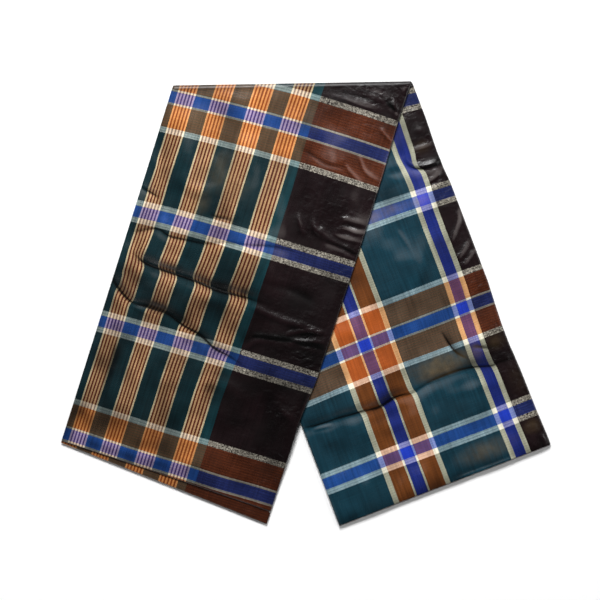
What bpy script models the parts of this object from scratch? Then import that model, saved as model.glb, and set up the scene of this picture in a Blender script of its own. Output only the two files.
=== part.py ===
"""Longyi sarong: a tube of plaid cotton folded lengthwise into a band, then folded once across
its middle and laid down with its two arms spread, like an upside-down V.

The tables below are in millimetres, and MM turns them into Blender's metres. +Z is up and +Y
points at the fold. A station is one cut across an arm. Each solid is a row of closed rings, one
for each station, with a cap at both ends.
"""

import math
from collections import namedtuple

import bpy

MM = 0.001

# Thickness of one leaf of cloth, the clear space between neighbours, and one arm's whole pack.
LEAF = 1.2
GAP = 0.3
PACK = 5.0
LEAF_BAND = LEAF + GAP
TIP_ROUND = 0.3

# The closed fold along each arm's right edge, and the turn at the top, are round.
EDGE_RADIUS = PACK / 2
TURN_RADIUS = PACK + GAP / 2
EDGE_END = math.radians(155)
EDGE_STEPS = 6
TURN_STEPS = 6
COLUMNS = 24

# The hidden layers show three rounded leaf folds at the left edge and at the end of each arm.
LOBES = 3
LOBE_SHARES = (0.0, 0.3, 0.7)
LOBE_INSETS = (0.8, 2.2, 1.4)
VALLEY_INSET = 3.6
SIDE_ROWS = LOBES * len(LOBE_SHARES)

# How far the hidden layers' flat underside stops short of the round edge's middle line.
UNDERSIDE_INSET = 0.2

# Corners of each arm from above, and how far its stations lean across the band.
Arm = namedtuple("Arm", "fold_left fold_right end_left end_right lean")
FOLD_LEFT = (-178.9, 294.8)
FOLD_RIGHT = (143.5, 300.4)
OVER = Arm(FOLD_LEFT, FOLD_RIGHT, (-330.9, -187.8), (-52.8, -298.2), 0.1)
UNDER = Arm(FOLD_LEFT, FOLD_RIGHT, (45.4, -300.1), (331.1, -190.2), -0.03)

# The over arm stays level this far past the under arm's left edge, then sinks to the floor.
DRAPE_LEVEL = 12.0
DRAPE_FALL = 60.0

# The over arm's top leaf stops short of the leaf below it, by this much at its two corners.
TOP_LEAF_SHORT_LEFT = 2.6
TOP_LEAF_SHORT_RIGHT = 23.0

# The second leaf starts at this share of the arm. Its sides lie inside the top leaf's, and
# widen to the outline where it comes out from under it.
SECOND_LEAF_START = 0.86
SECOND_LEAF_NARROW = (0.6, EDGE_RADIUS + 0.4)
SECOND_LEAF_WIDE = (0.0, 0.0)

# Shares along each arm where stations stand, closest at the tuck.
OVER_SHARES = (
    [0.03 * step for step in range(1, 15)]
    + [0.445, 0.465, 0.483, 0.495, 0.504, 0.512, 0.52, 0.53, 0.545, 0.565, 0.59]
    + [0.62 + 0.033 * step for step in range(7)]
    + [0.852]
)
SECOND_LEAF_SHARES = (0.0, 0.2, 0.4, 0.6, 0.8)
TOP_LEAF_ROUND_SHARE = 0.996
NARROW_SHARES = (0.0, 0.03)
WIDE_SHARES = (0.12, 0.5, 0.93)
HIDDEN_STEP_SHARE = SECOND_LEAF_START - 0.003
HIDDEN_NARROW_SHARE = 0.45
HIDDEN_WIDE_SHARES = (0.55, 0.75, 1.0)
UNDER_HIDDEN_SHARES = (0.06, 0.2, 0.35, 0.5, 0.65, 0.8, 0.92)
UNDER_SHARES = (
    [0.014, 0.04, 0.07, 0.1, 0.13, 0.16, 0.185, 0.21, 0.235, 0.26, 0.3, 0.35, 0.41, 0.47]
    + [0.53, 0.58, 0.62, 0.655, 0.69, 0.72, 0.742, 0.756, 0.766, 0.775, 0.784, 0.797, 0.82]
    + [0.86, 0.91, 0.96, 0.999]
)

# Largest creases: each is a soft ridge along straight runs between its points. It falls away
# over uphill millimetres on its fold side and over downhill millimetres on its end side.
Crease = namedtuple("Crease", "arm height uphill downhill points")
CREASES = (
    Crease("over", 2.2, 16, 8, ((-240, 78), (-193, 46), (-97, 12), (-32, -21), (22, -38))),
    Crease("over", 1.2, 12, 9, ((-258, 26), (-211, -5), (-165, -30), (-86, -83))),
    Crease("over", 1.0, 10, 8, ((-230, 98), (-184, 92), (-80, 79), (-29, 74))),
    Crease("over", 1.4, 11, 11, ((22, 285), (70, 272), (112, 255))),
    Crease("over", 1.0, 10, 10, ((30, 120), (55, 95), (92, 104))),
    Crease("under", 1.8, 12, 9, ((140, 232), (152, 184), (186, 196))),
    Crease("under", 2.2, 16, 8, ((16, -170), (99, -140), (172, -103), (274, -75))),
    Crease("under", 1.2, 9, 9, ((186, -42), (210, -76), (228, -70))),
)
CREASE_FADE = 14.0
UNDER_CREASE_CLEARANCE = 2.0

PLAIN_FACES = {
    "over_stretch": ((0.020, 0.050, 0.055), 0.38),
    "under_stretch": ((0.022, 0.085, 0.100), 0.36),
    "over_second_leaf": ((0.085, 0.035, 0.022), 0.45),
    "over_hidden_layers": ((0.045, 0.030, 0.028), 0.60),
    "under_hidden_layers": ((0.040, 0.040, 0.050), 0.60),
}


def lerp(start, end, share):
    """Value at a share of the way from start to end."""
    return start + (end - start) * share


def smooth_step(share):
    """Share eased in and out between 0 and 1."""
    share = min(max(share, 0.0), 1.0)
    return share * share * (3.0 - 2.0 * share)


def on_arm(arm, across, along):
    """Plan point of an arm at a share across the band and a share along it from the fold."""
    left = [lerp(arm.fold_left[axis], arm.end_left[axis], along) for axis in (0, 1)]
    right = [lerp(arm.fold_right[axis], arm.end_right[axis], along) for axis in (0, 1)]
    return lerp(left[0], right[0], across), lerp(left[1], right[1], across)


def arm_length(arm, across):
    """Length of an arm along one of its columns."""
    return math.dist(on_arm(arm, across, 0.0), on_arm(arm, across, 1.0))


def station_share(arm, along, across, start):
    """Share along the arm where a station crosses a column. It leans with the cloth's rows."""
    leaning = along + arm.lean * 4.0 * along * (1.0 - along) * (across - 0.5)
    return lerp(start / arm_length(arm, across), 1.0, leaning)


def side_of_line(point, start, end):
    """Distance of a plan point to the left of the line from start to end, in millimetres."""
    run_x = end[0] - start[0]
    run_y = end[1] - start[1]
    turn = run_x * (point[1] - start[1]) - run_y * (point[0] - start[0])
    return turn / math.hypot(run_x, run_y)


def column_asides(width, first, last):
    """Distances from the left edge of the columns of an arm's flat part. All its layers share them."""
    flat = width - EDGE_RADIUS
    return [first] + [flat * column / COLUMNS for column in range(1, COLUMNS)] + [last]


def over_base(point):
    """Height of the over arm's underside: on the under arm, then down to the floor beside it."""
    beyond = side_of_line(point, UNDER.end_left, UNDER.fold_left)
    fall = min(max((beyond - DRAPE_LEVEL) / DRAPE_FALL, 0.0), 1.0)
    return (PACK + GAP) * 0.5 * (1.0 + math.cos(math.pi * fall))


def run_ridge(point, start, end, crease, first, last):
    """Height of one straight run of a crease at a plan point."""
    length = math.dist(start, end)
    from_start = [point[axis] - start[axis] for axis in (0, 1)]
    run = [end[axis] - start[axis] for axis in (0, 1)]
    along = (from_start[0] * run[0] + from_start[1] * run[1]) / length
    overshoot = max(-along, along - length, 0.0)
    aside = side_of_line(point, start, end)
    reach = crease.uphill if aside > 0.0 else crease.downhill
    height = crease.height * math.exp(-((aside / reach) ** 2) - (overshoot / CREASE_FADE) ** 2)
    if first:
        height *= smooth_step(along / CREASE_FADE + 0.5)
    if last:
        height *= smooth_step((length - along) / CREASE_FADE + 0.5)
    return height


def ridge_height(arm_name, point):
    """Height of the highest crease of an arm at a plan point."""
    highest = 0.0
    for crease in (crease for crease in CREASES if crease.arm == arm_name):
        last = len(crease.points) - 2
        for run, (start, end) in enumerate(zip(crease.points, crease.points[1:])):
            highest = max(highest, run_ridge(point, start, end, crease, run == 0, run == last))
    if arm_name == "under":
        clear = side_of_line(point, OVER.end_right, OVER.fold_right)
        highest *= smooth_step((-clear - UNDER_CREASE_CLEARANCE) / CREASE_FADE)
    return highest


class OverStation:
    """A cut across the over arm, at a share along its left edge and a share along its right edge."""

    def __init__(self, along, along_right=None):
        self.along = along
        self.along_right = along if along_right is None else along_right
        self.width = math.dist(self.plan(0.0), self.plan(1.0))

    def plan(self, across, push=0.0):
        """Plan point at a share across the band, pushed on along the arm in millimetres."""
        share = lerp(self.along, self.along_right, across)
        along = station_share(OVER, share, across, TURN_RADIUS) + push / arm_length(OVER, across)
        return on_arm(OVER, across, along)

    def place(self, aside, height, push=0.0):
        """Point at a distance from the left edge and a height above the arm's underside."""
        x, y = self.plan(aside / self.width, push)
        return x, y, over_base((x, y)) + height

    def ridge(self, aside):
        """Height of the creases on the flat part of the top leaf."""
        return ridge_height("over", self.plan(aside / self.width)) * self.flat_share(aside)

    def flat_share(self, aside):
        """Creases die out at the round edge and at the turn."""
        at_edge = smooth_step((self.width - EDGE_RADIUS - aside) / CREASE_FADE)
        at_turn = smooth_step(self.along * arm_length(OVER, 0.5) / CREASE_FADE)
        return at_edge * at_turn


class TurnStation:
    """A cut across the turn at the top, where the under arm's cloth becomes the over arm's."""

    def __init__(self, angle):
        self.angle = angle
        self.width = math.dist(FOLD_LEFT, FOLD_RIGHT)

    def place(self, aside, height, push=0.0):
        """Point at a distance from the left edge and a height out from the turn's inside."""
        across = aside / self.width
        radius = height + GAP / 2
        back = TURN_RADIUS - radius * math.sin(self.angle)
        on_over = on_arm(OVER, across, back / arm_length(OVER, across))
        on_under = on_arm(UNDER, across, back / arm_length(UNDER, across))
        twist = (1.0 - math.cos(self.angle)) / 2
        x, y = (lerp(on_over[axis], on_under[axis], twist) for axis in (0, 1))
        return x, y, TURN_RADIUS + radius * math.cos(self.angle)

    def ridge(self, aside):
        """The turn itself is smooth."""
        return 0.0


class UnderStation:
    """A cut across the under arm, at a share along it."""

    def __init__(self, along):
        self.along = along
        self.width = math.dist(self.plan(0.0), self.plan(1.0))

    def plan(self, across, push=0.0):
        """Plan point at a share across the band, pushed on along the arm in millimetres."""
        along = station_share(UNDER, self.along, across, TURN_RADIUS + GAP)
        along += push / arm_length(UNDER, across)
        return on_arm(UNDER, across, along)

    def place(self, aside, height, push=0.0):
        """Point at a distance from the left edge and a height above the floor."""
        x, y = self.plan(aside / self.width, push)
        return x, y, height

    def ridge(self, aside):
        """Height of the creases on the flat part of the top leaf."""
        at_edge = smooth_step((self.width - EDGE_RADIUS - aside) / CREASE_FADE)
        return ridge_height("under", self.plan(aside / self.width)) * at_edge


def edge_row(width, radius):
    """Points of the round right edge below its top, as distance from the left and height."""
    row = []
    for step in range(1, EDGE_STEPS + 1):
        angle = EDGE_END * step / EDGE_STEPS
        row.append((width - EDGE_RADIUS + radius * math.sin(angle), EDGE_RADIUS + radius * math.cos(angle)))
    return row


def leaf_ring(station, thin=0.0):
    """Ring of a top leaf that wraps the round right edge. A thin ring rounds off the leaf's end."""
    outer, inner = [], []
    for aside in column_asides(station.width, thin + TIP_ROUND, station.width - EDGE_RADIUS):
        rise = station.ridge(aside)
        outer.append(station.place(aside, PACK + rise - thin))
        inner.append(station.place(aside, PACK + rise - LEAF + thin))
    outer += [station.place(*spot) for spot in edge_row(station.width, EDGE_RADIUS - thin)]
    inner += [station.place(*spot) for spot in edge_row(station.width, EDGE_RADIUS - LEAF + thin)]
    tip = station.place(thin, PACK + station.ridge(0.0) - LEAF / 2)
    return [tip] + outer + inner[::-1]


def flat_leaf_ring(station, low, high, left, right, thin=0.0):
    """Ring of a flat leaf between two insets, with a rounded tip on both sides."""
    inset = TIP_ROUND + thin
    asides = column_asides(station.width, left + inset, station.width - right - inset)
    middle = (low + high) / 2
    outer = [station.place(aside, high - thin) for aside in asides]
    inner = [station.place(aside, low + thin) for aside in asides]
    left_tip = station.place(left + thin, middle)
    right_tip = station.place(station.width - right - thin, middle)
    return [left_tip] + outer + [right_tip] + inner[::-1]


# Round right edge of the hidden layers: its middle's inset and height, its radius and the angle
# from its top where it starts. It is inside the top leaf's wrap, then below the second leaf, and
# then comes out to near the outline past the top leaf's end.
RoundEdge = namedtuple("RoundEdge", "inset height radius start_angle")
INSIDE_WRAP = RoundEdge(EDGE_RADIUS, EDGE_RADIUS, EDGE_RADIUS - LEAF_BAND, 0.0)
HIDDEN_TOP = PACK - LEAF_BAND
LOW_TOP = HIDDEN_TOP - LEAF_BAND
LOW_START = math.acos((LOW_TOP - EDGE_RADIUS) / INSIDE_WRAP.radius)
BELOW_SECOND_LEAF = INSIDE_WRAP._replace(start_angle=LOW_START)
PAST_TOP_LEAF = RoundEdge(LOW_TOP / 2 + 1.0, LOW_TOP / 2, LOW_TOP / 2, 0.0)


def lobe_inset(row):
    """How far a row of the layered edge lies back from the outline."""
    if row % len(LOBE_SHARES) == 0:
        return VALLEY_INSET
    return LOBE_INSETS[row // len(LOBE_SHARES)]


def lobe_height(row, low, high):
    """Height of a row of the layered edge, counted from the top."""
    lobe, part = divmod(row, len(LOBE_SHARES))
    share = (lobe + LOBE_SHARES[part]) / LOBES if row < SIDE_ROWS else 1.0
    return lerp(high, low, share)


def hidden_grid(station, low, high, edge):
    """Left and right ends of each row of the hidden layers, top row first."""
    rows = []
    for row in range(SIDE_ROWS + 1):
        left = (lobe_inset(row), lobe_height(row, low, high))
        angle = lerp(edge.start_angle, math.pi, row / (SIDE_ROWS - 1))
        right = (
            station.width - edge.inset + edge.radius * math.sin(angle),
            edge.height + edge.radius * math.cos(angle),
        )
        if row == SIDE_ROWS:
            right = (station.width - edge.inset - UNDERSIDE_INSET, low)
        rows.append((left, right))
    return rows


def hidden_ring(station, low, high, edge):
    """Ring of the hidden layers: top, round right side, underside, layered left side."""
    rows = hidden_grid(station, low, high, edge)
    top = row_spots(station, *rows[0])
    bottom = row_spots(station, *rows[-1])[::-1]
    right = [row[1] for row in rows[1:-1]]
    left = [row[0] for row in rows[-2:0:-1]]
    return [station.place(*spot) for spot in top + right + bottom + left]


def row_spots(station, left, right):
    """Spots on one row of the hidden layers, at each of the columns across it."""
    asides = column_asides(station.width, left[0], right[0])
    return [(aside, lerp(left[1], right[1], column / COLUMNS)) for column, aside in enumerate(asides)]


def layered_cap(station, low, high, edge):
    """Inner points of an end cap, each row pushed out as its leaf fold sticks out."""
    rows = hidden_grid(station, low, high, edge)
    cap = []
    for row in range(1, SIDE_ROWS):
        push = VALLEY_INSET - lobe_inset(row)
        level = lobe_height(row, low, high)
        (left, _), (right, right_level) = rows[row]
        line = []
        for column, aside in enumerate(column_asides(station.width, left, right)[1:-1], start=1):
            height = lerp(level, right_level, smooth_step(3.0 * column / COLUMNS - 2.0))
            line.append(station.place(aside, height, push))
        cap.append(line)
    return cap


def flat_cap(station, low, high, edge):
    """Inner points of a plain end cap."""
    rows = hidden_grid(station, low, high, edge)
    return [[station.place(*spot) for spot in row_spots(station, *row)[1:-1]] for row in rows[1:-1]]


class Solid:
    """Collects the points and faces of one closed solid."""

    def __init__(self):
        self.points = []
        self.faces = []

    def add(self, places):
        """Adds points and returns their numbers."""
        first = len(self.points)
        self.points.extend(places)
        return list(range(first, len(self.points)))

    def join_rings(self, rings):
        """Adds rings in order, with a band of faces between each two, and returns their numbers.

        Each four-sided place is split the same way above and below, so that curved neighbours
        keep the same space between them everywhere.
        """
        numbers = [self.add(ring) for ring in rings]
        for near, far in zip(numbers, numbers[1:]):
            for spot in range(len(near)):
                after = (spot + 1) % len(near)
                if spot < len(near) // 2:
                    self.faces.append((near[spot], far[spot], far[after]))
                    self.faces.append((near[spot], far[after], near[after]))
                else:
                    self.faces.append((near[spot], far[spot], near[after]))
                    self.faces.append((near[after], far[spot], far[after]))
        return numbers

    def close_strip(self, ring, tips, flip):
        """Closes a leaf's ring between its two long rows, with a tip on one side or both."""
        half = (len(ring) - tips) // 2
        outer = ring[1:half + 1]
        inner = ring[-half:][::-1]
        faces = [(ring[0], inner[0], outer[0])]
        for spot in range(half - 1):
            faces.append((outer[spot], inner[spot], inner[spot + 1], outer[spot + 1]))
        if tips == 2:
            faces.append((outer[-1], inner[-1], ring[half + 1]))
        self.faces += [face[::-1] for face in faces] if flip else faces

    def close_grid(self, ring, inner_places, flip):
        """Closes a ring of the hidden layers with a grid of faces."""
        right_side = ring[COLUMNS + 1:COLUMNS + SIDE_ROWS]
        left_side = ring[:-SIDE_ROWS:-1]
        bottom_start = COLUMNS + SIDE_ROWS
        grid = [ring[:COLUMNS + 1]]
        for row, line in enumerate(inner_places):
            grid.append([left_side[row]] + self.add(line) + [right_side[row]])
        grid.append(ring[bottom_start:bottom_start + COLUMNS + 1][::-1])
        for upper, lower in zip(grid, grid[1:]):
            for column in range(COLUMNS):
                face = (upper[column], lower[column], lower[column + 1], upper[column + 1])
                self.faces.append(face[::-1] if flip else face)


def over_stations():
    """Stations of the over arm from beside the turn to where its second leaf begins."""
    return [OverStation(share) for share in (0.0, *OVER_SHARES)]


def turn_stations():
    """Stations round the turn, from the under arm's floor side up to just before the over arm."""
    return [TurnStation(math.pi * step / TURN_STEPS) for step in range(TURN_STEPS, 0, -1)]


def end_station(share):
    """Station between the second leaf's start, at 0, and the top leaf's slanting end, at 1."""
    left_end = 1.0 - TOP_LEAF_SHORT_LEFT / arm_length(OVER, 0.0)
    right_end = 1.0 - TOP_LEAF_SHORT_RIGHT / arm_length(OVER, 1.0)
    return OverStation(lerp(SECOND_LEAF_START, left_end, share), lerp(SECOND_LEAF_START, right_end, share))


def past_station(start, share, short=0.0):
    """Station between a start station, at 0, and a line short of the arm's end, at 1."""
    last = 1.0 - short / arm_length(OVER, 0.5)
    return OverStation(lerp(start.along, last, share), lerp(start.along_right, last, share))


def make_over_stretch(solid):
    """The over arm's top leaf, round its right edge and round the turn down to the floor."""
    stations = turn_stations() + over_stations()
    stations += [end_station(share) for share in (*SECOND_LEAF_SHARES, TOP_LEAF_ROUND_SHARE)]
    close_top_leaf(solid, stations, end_station(1.0))


def make_under_stretch(solid):
    """The under arm's top leaf, from the turn to its end, round its right edge."""
    stations = [UnderStation(share) for share in (0.0, *UNDER_SHARES)]
    close_top_leaf(solid, stations, UnderStation(1.0))


def close_top_leaf(solid, stations, end):
    """Joins a top leaf's rings, rounds off its end and closes both ends."""
    rings = [leaf_ring(station) for station in stations] + [leaf_ring(end, LEAF / 3)]
    numbers = solid.join_rings(rings)
    solid.close_strip(numbers[0], 1, True)
    solid.close_strip(numbers[-1], 1, False)


def make_over_second_leaf(solid):
    """The leaf below the over arm's top leaf, which shows as a dark wedge at the end."""
    low = HIDDEN_TOP - LEAF
    top_end = end_station(1.0)
    stations = [(end_station(share), SECOND_LEAF_NARROW) for share in SECOND_LEAF_SHARES]
    stations += [(past_station(top_end, share), SECOND_LEAF_NARROW) for share in NARROW_SHARES]
    stations += [(past_station(top_end, share), SECOND_LEAF_WIDE) for share in WIDE_SHARES]
    rings = [flat_leaf_ring(station, low, HIDDEN_TOP, *insets) for station, insets in stations]
    rings.append(flat_leaf_ring(OverStation(1.0), low, HIDDEN_TOP, *SECOND_LEAF_WIDE, LEAF / 3))
    numbers = solid.join_rings(rings)
    solid.close_strip(numbers[0], 2, True)
    solid.close_strip(numbers[-1], 2, False)


def make_over_hidden_layers(solid):
    """The over arm's hidden layers and the turn, one rounded solid with layered edges."""
    turn = turn_stations()
    rings = [hidden_ring(station, station.angle / math.pi, HIDDEN_TOP, INSIDE_WRAP) for station in turn]
    rings += [hidden_ring(station, 0.0, HIDDEN_TOP, INSIDE_WRAP) for station in over_stations()]
    below = [OverStation(HIDDEN_STEP_SHARE)] + [end_station(share) for share in SECOND_LEAF_SHARES]
    start = below[-1]
    below.append(past_station(start, HIDDEN_NARROW_SHARE, VALLEY_INSET))
    past = [past_station(start, share, VALLEY_INSET) for share in HIDDEN_WIDE_SHARES]
    rings += [hidden_ring(station, 0.0, LOW_TOP, BELOW_SECOND_LEAF) for station in below]
    rings += [hidden_ring(station, 0.0, LOW_TOP, PAST_TOP_LEAF) for station in past]
    numbers = solid.join_rings(rings)
    solid.close_grid(numbers[0], flat_cap(turn[0], 1.0, HIDDEN_TOP, INSIDE_WRAP), True)
    solid.close_grid(numbers[-1], layered_cap(past[-1], 0.0, LOW_TOP, PAST_TOP_LEAF), False)


def make_under_hidden_layers(solid):
    """The under arm's hidden layers, one rounded solid with a flat underside."""
    start = UnderStation(0.0)
    end = UnderStation(1.0 - VALLEY_INSET / arm_length(UNDER, 0.5))
    stations = [start, *(UnderStation(share) for share in UNDER_HIDDEN_SHARES), end]
    rings = [hidden_ring(station, 0.0, HIDDEN_TOP, INSIDE_WRAP) for station in stations]
    numbers = solid.join_rings(rings)
    solid.close_grid(numbers[0], flat_cap(start, 0.0, HIDDEN_TOP, INSIDE_WRAP), True)
    solid.close_grid(numbers[-1], layered_cap(end, 0.0, HIDDEN_TOP, INSIDE_WRAP), False)


def cloth_material(name, colour, roughness):
    """Plain cloth in one colour."""
    material = bpy.data.materials.new(name)
    material.use_nodes = True
    shader = material.node_tree.nodes["Principled BSDF"]
    shader.inputs["Base Color"].default_value = (*colour, 1.0)
    shader.inputs["Roughness"].default_value = roughness
    shader.inputs["Metallic"].default_value = 0.0
    return material


def make_object(name, solid, shift):
    """Turns a solid into a smooth-shaded object, moved so that the whole piece is centred."""
    mesh = bpy.data.meshes.new(name)
    places = [((x - shift[0]) * MM, (y - shift[1]) * MM, z * MM) for x, y, z in solid.points]
    mesh.from_pydata(places, [], solid.faces)
    for face in mesh.polygons:
        face.use_smooth = True
    colour, roughness = PLAIN_FACES[name]
    mesh.materials.append(cloth_material(name, colour, roughness))
    bpy.context.collection.objects.link(bpy.data.objects.new(name, mesh))


def main():
    """Builds each stretch of cloth and centres them all over the origin."""
    for old in list(bpy.data.objects):
        bpy.data.objects.remove(old, do_unlink=True)
    makers = {
        "over_stretch": make_over_stretch,
        "under_stretch": make_under_stretch,
        "over_second_leaf": make_over_second_leaf,
        "over_hidden_layers": make_over_hidden_layers,
        "under_hidden_layers": make_under_hidden_layers,
    }
    solids = {}
    for name, maker in makers.items():
        solids[name] = Solid()
        maker(solids[name])
    points = [point for solid in solids.values() for point in solid.points]
    shift = [(min(p[axis] for p in points) + max(p[axis] for p in points)) / 2 for axis in (0, 1)]
    for name, solid in solids.items():
        make_object(name, solid, shift)


main()
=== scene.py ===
"""Longyi sarong, laid out: a tube of plaid cotton folded lengthwise into a band, then folded once
across its middle, with its two arms spread like an upside-down V.

Tables are in millimetres, +Z up and +Y towards the fold, and MM turns them into metres. A
station is one cut across an arm. Each piece of cloth is a row of rings, one for each station.
"""

import logging
import math
from dataclasses import dataclass
from enum import Enum
from typing import Sequence

import bpy
import numpy as np
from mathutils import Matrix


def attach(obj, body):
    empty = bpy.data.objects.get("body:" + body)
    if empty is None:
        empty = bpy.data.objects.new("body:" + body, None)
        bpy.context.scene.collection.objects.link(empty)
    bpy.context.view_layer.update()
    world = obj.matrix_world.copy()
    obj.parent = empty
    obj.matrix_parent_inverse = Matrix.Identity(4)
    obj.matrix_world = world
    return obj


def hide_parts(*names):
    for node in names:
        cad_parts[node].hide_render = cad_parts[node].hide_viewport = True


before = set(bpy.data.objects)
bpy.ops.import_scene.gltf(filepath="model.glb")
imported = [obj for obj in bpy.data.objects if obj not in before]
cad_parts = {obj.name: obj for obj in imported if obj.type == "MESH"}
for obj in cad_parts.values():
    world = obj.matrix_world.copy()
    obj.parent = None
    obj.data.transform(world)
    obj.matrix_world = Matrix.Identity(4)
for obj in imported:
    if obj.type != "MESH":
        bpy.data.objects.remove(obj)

LOG = logging.getLogger("longyi")
MM = 0.001

# Thickness of one leaf, the clear space between neighbours, and one arm's whole pack.
LEAF = 1.2
GAP = 0.3
PACK = 5.0
TIP_ROUND = 0.3
EDGE_RADIUS = PACK / 2
TURN_RADIUS = PACK + GAP / 2
EDGE_END = math.radians(155)
HIDDEN_TOP = PACK - LEAF - GAP
LOW_TOP = HIDDEN_TOP - LEAF - GAP

# How finely each leaf is divided: across its flat part, round its edge and round the turn.
COLUMNS = 118
EDGE_STEPS = 10
TURN_STEPS = 12
# The columns stand closer from this share of their number on, at this share across the band.
FINE_FROM = (0.46, 0.63)

# Width of the cloth on one arm, measured along its weft.
BAND = 307.0

# Middle of the tables' outline, which stands over the frame's origin.
CENTRE = (0.1, 0.15)

# The over arm stays level this far past the under arm's left edge, then sinks to the floor.
DRAPE_LEVEL = 12.0
DRAPE_FALL = 60.0

# The over arm's top leaf ends this far short of the leaf below it, and that leaf starts here.
TOP_LEAF_SHORT_LEFT = 2.6
TOP_LEAF_SHORT_RIGHT = 23.0
SECOND_LEAF_START = 0.86

Numbers = np.ndarray
Point = tuple[float, float]
Colour = tuple[float, float, float]


class Arm(Enum):
    """The two arms of the folded cloth."""

    OVER = "over"
    UNDER = "under"


class Fold(Enum):
    """How a wrinkle stands: a tuck with a narrow groove, a soft ridge or a soft trough."""

    TUCK = "tuck"
    RIDGE = "ridge"
    TROUGH = "trough"


def lerp(start: Numbers, end: Numbers, share: Numbers) -> Numbers:
    """Returns the value at a share of the way from start to end."""
    return start + (end - start) * share


def smooth_step(share: Numbers) -> Numbers:
    """Returns a share eased in and out between 0 and 1."""
    share = np.clip(share, 0.0, 1.0)
    return share * share * (3.0 - 2.0 * share)


def side_of_line(x: Numbers, y: Numbers, start: Point, end: Point) -> Numbers:
    """Measures how far points lie to the left of a line.

    Args:
        x: Plan places of the points, in millimetres.
        y: Plan places of the points, in millimetres.
        start: Where the line starts.
        end: Where the line ends.

    Returns:
        Distances in millimetres, negative to the right of the line.
    """
    run_x, run_y = end[0] - start[0], end[1] - start[1]
    return (run_x * (y - start[1]) - run_y * (x - start[0])) / math.hypot(run_x, run_y)


def soft_noise(x: Numbers, y: Numbers, size: float, seed: int) -> Numbers:
    """Smooth random waves over the plan.

    Args:
        x: Plan places in millimetres.
        y: Plan places in millimetres.
        size: Length of one wave in millimetres.
        seed: Picks the waves, so that each run gives the same ones.

    Returns:
        Values between -1 and 1.
    """
    cells = 64
    lattice = np.random.default_rng(seed).uniform(-1.0, 1.0, (cells, cells))
    column, row = np.floor(x / size), np.floor(y / size)
    across, along = smooth_step(x / size - column), smooth_step(y / size - row)
    left, low = column.astype(int) % cells, row.astype(int) % cells
    right, high = (left + 1) % cells, (low + 1) % cells
    lower = lerp(lattice[left, low], lattice[right, low], across)
    upper = lerp(lattice[left, high], lattice[right, high], across)
    return lerp(lower, upper, along)


# A tuck's groove is this wide, and its upper side falls off at this rate of its own width.
TUCK_GROOVE = 1.7
TUCK_FALL = 0.85
# Height of the low swell below a tuck, as a share of the tuck's own.
TUCK_SWELL = 0.3
# Near a tuck the stripes step sideways over this distance, and come back over this one.
JOG_SOFT = 4.0
JOG_REACH = 26.0
# A tuck's cleft is painted dark over this width, as painted shade, and a tuck of this height has its whole
# painted shade.
CLEFT_SHADE = 1.4
FULL_TUCK = 1.4
# Painted shade above a tuck and painted highlight below it: how much darker and how much lighter the cloth is
# painted.
SHADE_ABOVE_TUCK = 0.72
HIGHLIGHT_BELOW_TUCK = 0.48
# Painted shade on a ridge's far side and painted highlight on its crest, for one no wider than this.
RIDGE_SHADE = 0.4
RIDGE_CREST_HIGHLIGHT = 0.7
SHARP_WIDTH = 3.0


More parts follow.
